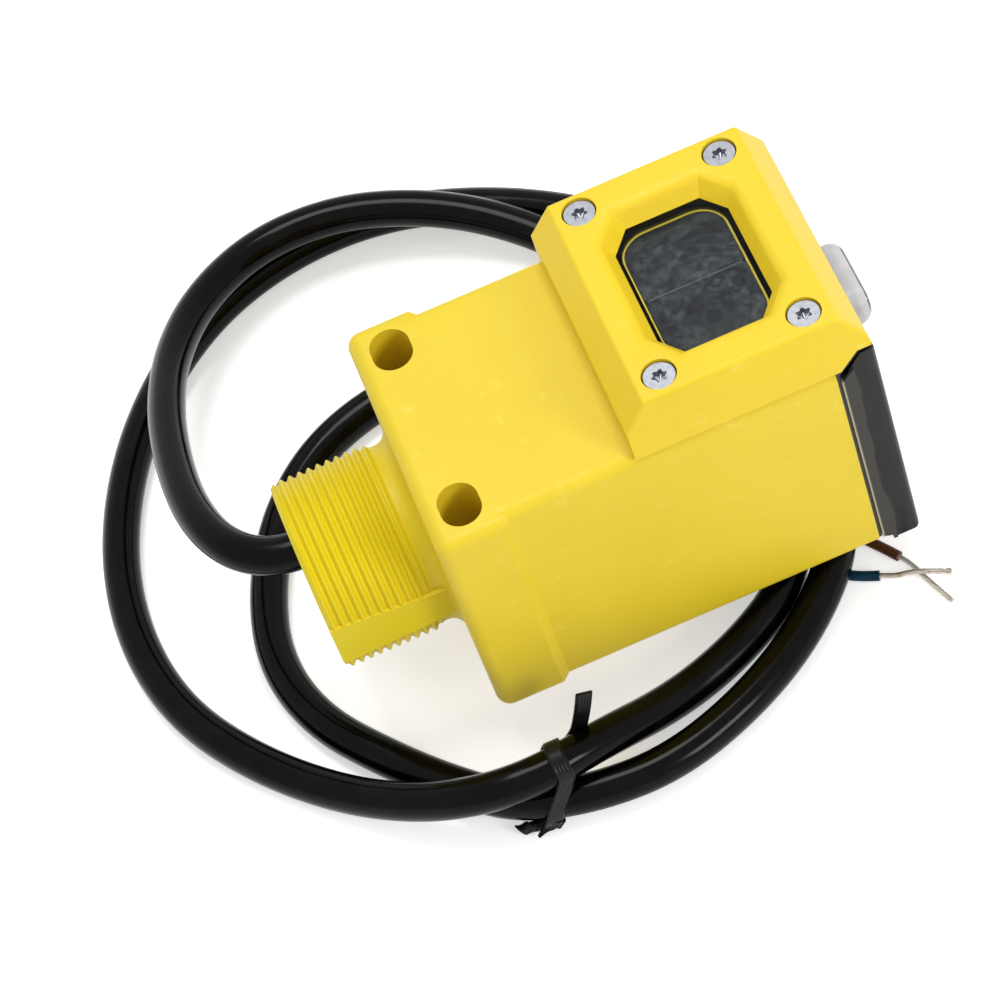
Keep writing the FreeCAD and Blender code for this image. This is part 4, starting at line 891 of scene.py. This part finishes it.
# Circuit board: a board of glass fibre with green solder resist, which stands in the housing.
# Two tinned posts on it take the ends of the leads.
def board_finish():
    """Green solder resist over a fine weave, with paler tracks."""
    finish, tree, shader, place = new_finish("board_green")
    weave = tree.nodes.new("ShaderNodeTexChecker")
    weave.inputs["Scale"].default_value = 1400
    weave.inputs["Color1"].default_value = (0.012, 0.09, 0.035, 1)
    weave.inputs["Color2"].default_value = (0.016, 0.11, 0.045, 1)
    tree.links.new(place, weave.inputs["Vector"])
    tracks = tree.nodes.new("ShaderNodeTexBrick")
    tracks.inputs["Scale"].default_value = 160
    tracks.inputs["Mortar Size"].default_value = 0.08
    tree.links.new(place, tracks.inputs["Vector"])
    tree.links.new(between(tree, tracks.outputs["Fac"], weave.outputs["Color"], (0.03, 0.2, 0.08)),
                   shader.inputs["Base Color"])
    gloss = texture_noise(tree, place, scale=600)
    tree.links.new(spread(tree, gloss, 0.3, 0.7, 0.25, 0.4), shader.inputs["Roughness"])
    return finish


finish_node("main_board", board_finish())
finish_node("terminal_posts", plated("post_tinned", (0.75, 0.73, 0.66), (0.6, 0.55, 0.45), 0.3))

# Control plate: a plate of matt black plastic that closes the housing's mouth under the cover.
# It has a shallow sunk field, and the indicator looks out of it.
plate_black = matt_black("control_plate_black", (0.012, 0.012, 0.012), (0.026, 0.026, 0.025), 0.55)
finish_node("control_plate", plate_black)


# Cover: a cap moulded in smoked clear plastic, on two hinge pins, with a clear dome over the indicator.
# Its flange shows paler where it overlaps the rim, and its lip catches the light.
def smoked(name, colour, haze, alpha, rough):
    """Smoked clear plastic: a dark tint, cloudy with handling."""
    finish, tree, shader, place = new_finish(name)
    cloud = spread(tree, texture_noise(tree, place, scale=300, detail=5, rough=0.6), 0.35, 0.7, 0, 1)
    tint = between(tree, cloud, colour, haze)
    tree.links.new(tint, shader.inputs["Base Color"])
    tree.links.new(spread(tree, cloud, 0, 1, rough, rough + 0.08), shader.inputs["Roughness"])
    shader.inputs["Alpha"].default_value = alpha
    shader.inputs["Specular IOR Level"].default_value = 0.15
    return finish, tree, shader, place, tint


cover_end = 0.0691
flange_edge, lip_edge, seat_edge = (0.0637, 0.0640), (0.0632, 0.0634), (0.0428, 0.0430)
flange_bow = 0.0024


def smoked_cover_finish():
    """The smoked tint, with the paler flange, the bright lip and the dark seat of the gasket."""
    finish, tree, shader, place, tint = smoked("cover_smoked", (0.006, 0.0075, 0.007),
                                               (0.012, 0.0135, 0.013), alpha=0.96, rough=0.14)
    parts = axes(tree, place)
    along, height = parts["X"], parts["Z"]
    bow = combined(tree, "MULTIPLY", texture_noise(tree, place, scale=95, detail=1), flange_bow)
    flange = spread(tree, combined(tree, "SUBTRACT", along, bow), *flange_edge, 1, 0)
    tint = between(tree, flange, tint, (0.04, 0.038, 0.034))
    lip = spread(tree, along, *lip_edge, 0.8, 0)
    tint = between(tree, lip, tint, (0.5, 0.45, 0.3))
    seat = spread(tree, combined(tree, "SUBTRACT", along, height), *seat_edge, 1, 0)
    tree.links.new(between(tree, seat, tint, (0.004, 0.003, 0.002)), shader.inputs["Base Color"])
    return finish


cover = copy_of_node("top_cover", "smoked_cover")
dome_clear = smoked("dome_clear", (0.56, 0.545, 0.55), (0.66, 0.64, 0.645), alpha=0.8, rough=0.08)[0]
dome_painted_shade = smoked("dome_painted_shade", (0.04, 0.042, 0.045), (0.09, 0.09, 0.095), alpha=0.8, rough=0.08)[0]
for finish in (smoked_cover_finish(), dome_clear, dome_painted_shade):
    cover.data.materials.append(finish)
# Painted shade: dome faces that point along +X or +Y take a darker copy of the same clear plastic.
for face in cover.data.polygons:
    on_dome = face.center.x >= cover_end + 4 * near
    darker = face.normal.x > 0.8 or face.normal.y > 0.75
    face.material_index = (2 if darker else 1) if on_dome else 0
bpy.ops.object.shade_smooth_by_angle(angle=math.radians(28))
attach(cover, "cover")
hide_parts("top_cover")

# Cover gasket and hinge pins: a frame of black rubber lies round the housing's mouth under the cover.
# Two short steel pins are pressed in the housing's ears, and the cover turns on them.
finish_node("cover_seal", gasket_black)
finish_node("hinge_pins", plated("pin_steel", (0.6, 0.6, 0.6), (0.48, 0.48, 0.5), 0.3))

# Potting and leads: black resin is cast in the barrel, round the cable's inner end.
# The two leads run on from there, blue and brown, to the board's posts.
resin_black = matt_black("potting_resin", (0.008, 0.008, 0.008), (0.02, 0.02, 0.02), 0.45, grain=1200)
finish_node("potting", resin_black)
finish_node("inner_cable", cable_black)
finish_node("blue_lead", wire_blue)
finish_node("brown_lead", wire_brown)

# Floor: a plain white sheet under the coil, which keeps the soft shadow.
# It also glows, for the rays that show it but not for those that light the object, and so looks white.
def seen_directly(tree):
    """One for camera, glossy and transmission rays, nought for the rays that light the object."""
    light_path = tree.nodes.new("ShaderNodeLightPath")
    total = light_path.outputs["Is Camera Ray"]
    for kind in ("Is Glossy Ray", "Is Transmission Ray"):
        total = combined(tree, "MAXIMUM", total, light_path.outputs[kind])
    return total


floor_glow = 0.5
deselect_all()
bpy.ops.mesh.primitive_plane_add(size=12, location=(0, 0, floor_height))
floor = bpy.context.active_object
floor.name = "studio_floor"
floor_white = bpy.data.materials.new("studio_floor_white")
floor_white.use_nodes = True
tree = floor_white.node_tree
shader = tree.nodes["Principled BSDF"]
shader.inputs["Base Color"].default_value = (0.9, 0.9, 0.9, 1)
shader.inputs["Roughness"].default_value = 1
shader.inputs["Specular IOR Level"].default_value = 0
shader.inputs["Emission Color"].default_value = (1, 1, 1, 1)
glow = combined(tree, "MULTIPLY", seen_directly(tree), floor_glow)
tree.links.new(glow, shader.inputs["Emission Strength"])
floor.data.materials.append(floor_white)

# Light: a white room, seen brighter than it lights the object.
# One soft lamp hangs overhead, a little beyond the object, and a weaker one stands in front on the right.
room_light = 0.62
room = bpy.data.worlds.new("white_room")
bpy.context.scene.world = room
room.use_nodes = True
tree = room.node_tree
backdrop = tree.nodes["Background"]
backdrop.inputs["Color"].default_value = (1, 1, 1, 1)
level = tree.nodes.new("ShaderNodeMapRange")
level.inputs["To Min"].default_value = room_light
level.inputs["To Max"].default_value = 1.0
tree.links.new(seen_directly(tree), level.inputs["Value"])
tree.links.new(level.outputs["Result"], backdrop.inputs["Strength"])


def soft_lamp(name, place, aim, size, power):
    """A square soft lamp at a place, aimed at a point."""
    data = bpy.data.lights.new(name, "AREA")
    data.size = size
    data.energy = power
    lamp = put_in_scene(name, data)
    lamp.location = place
    lamp.rotation_euler = (Vector(aim) - Vector(place)).to_track_quat("-Z", "Y").to_euler()


soft_lamp("overhead_softbox", (0.06, 0.28, 1.15), aim=(0.01, 0.01, 0), size=0.5, power=7.5)
soft_lamp("side_softbox", (0.62, -0.9, 0.5), aim=(0.02, 0, 0), size=0.35, power=5.4)

bpy.context.scene.view_settings.view_transform = "Standard"
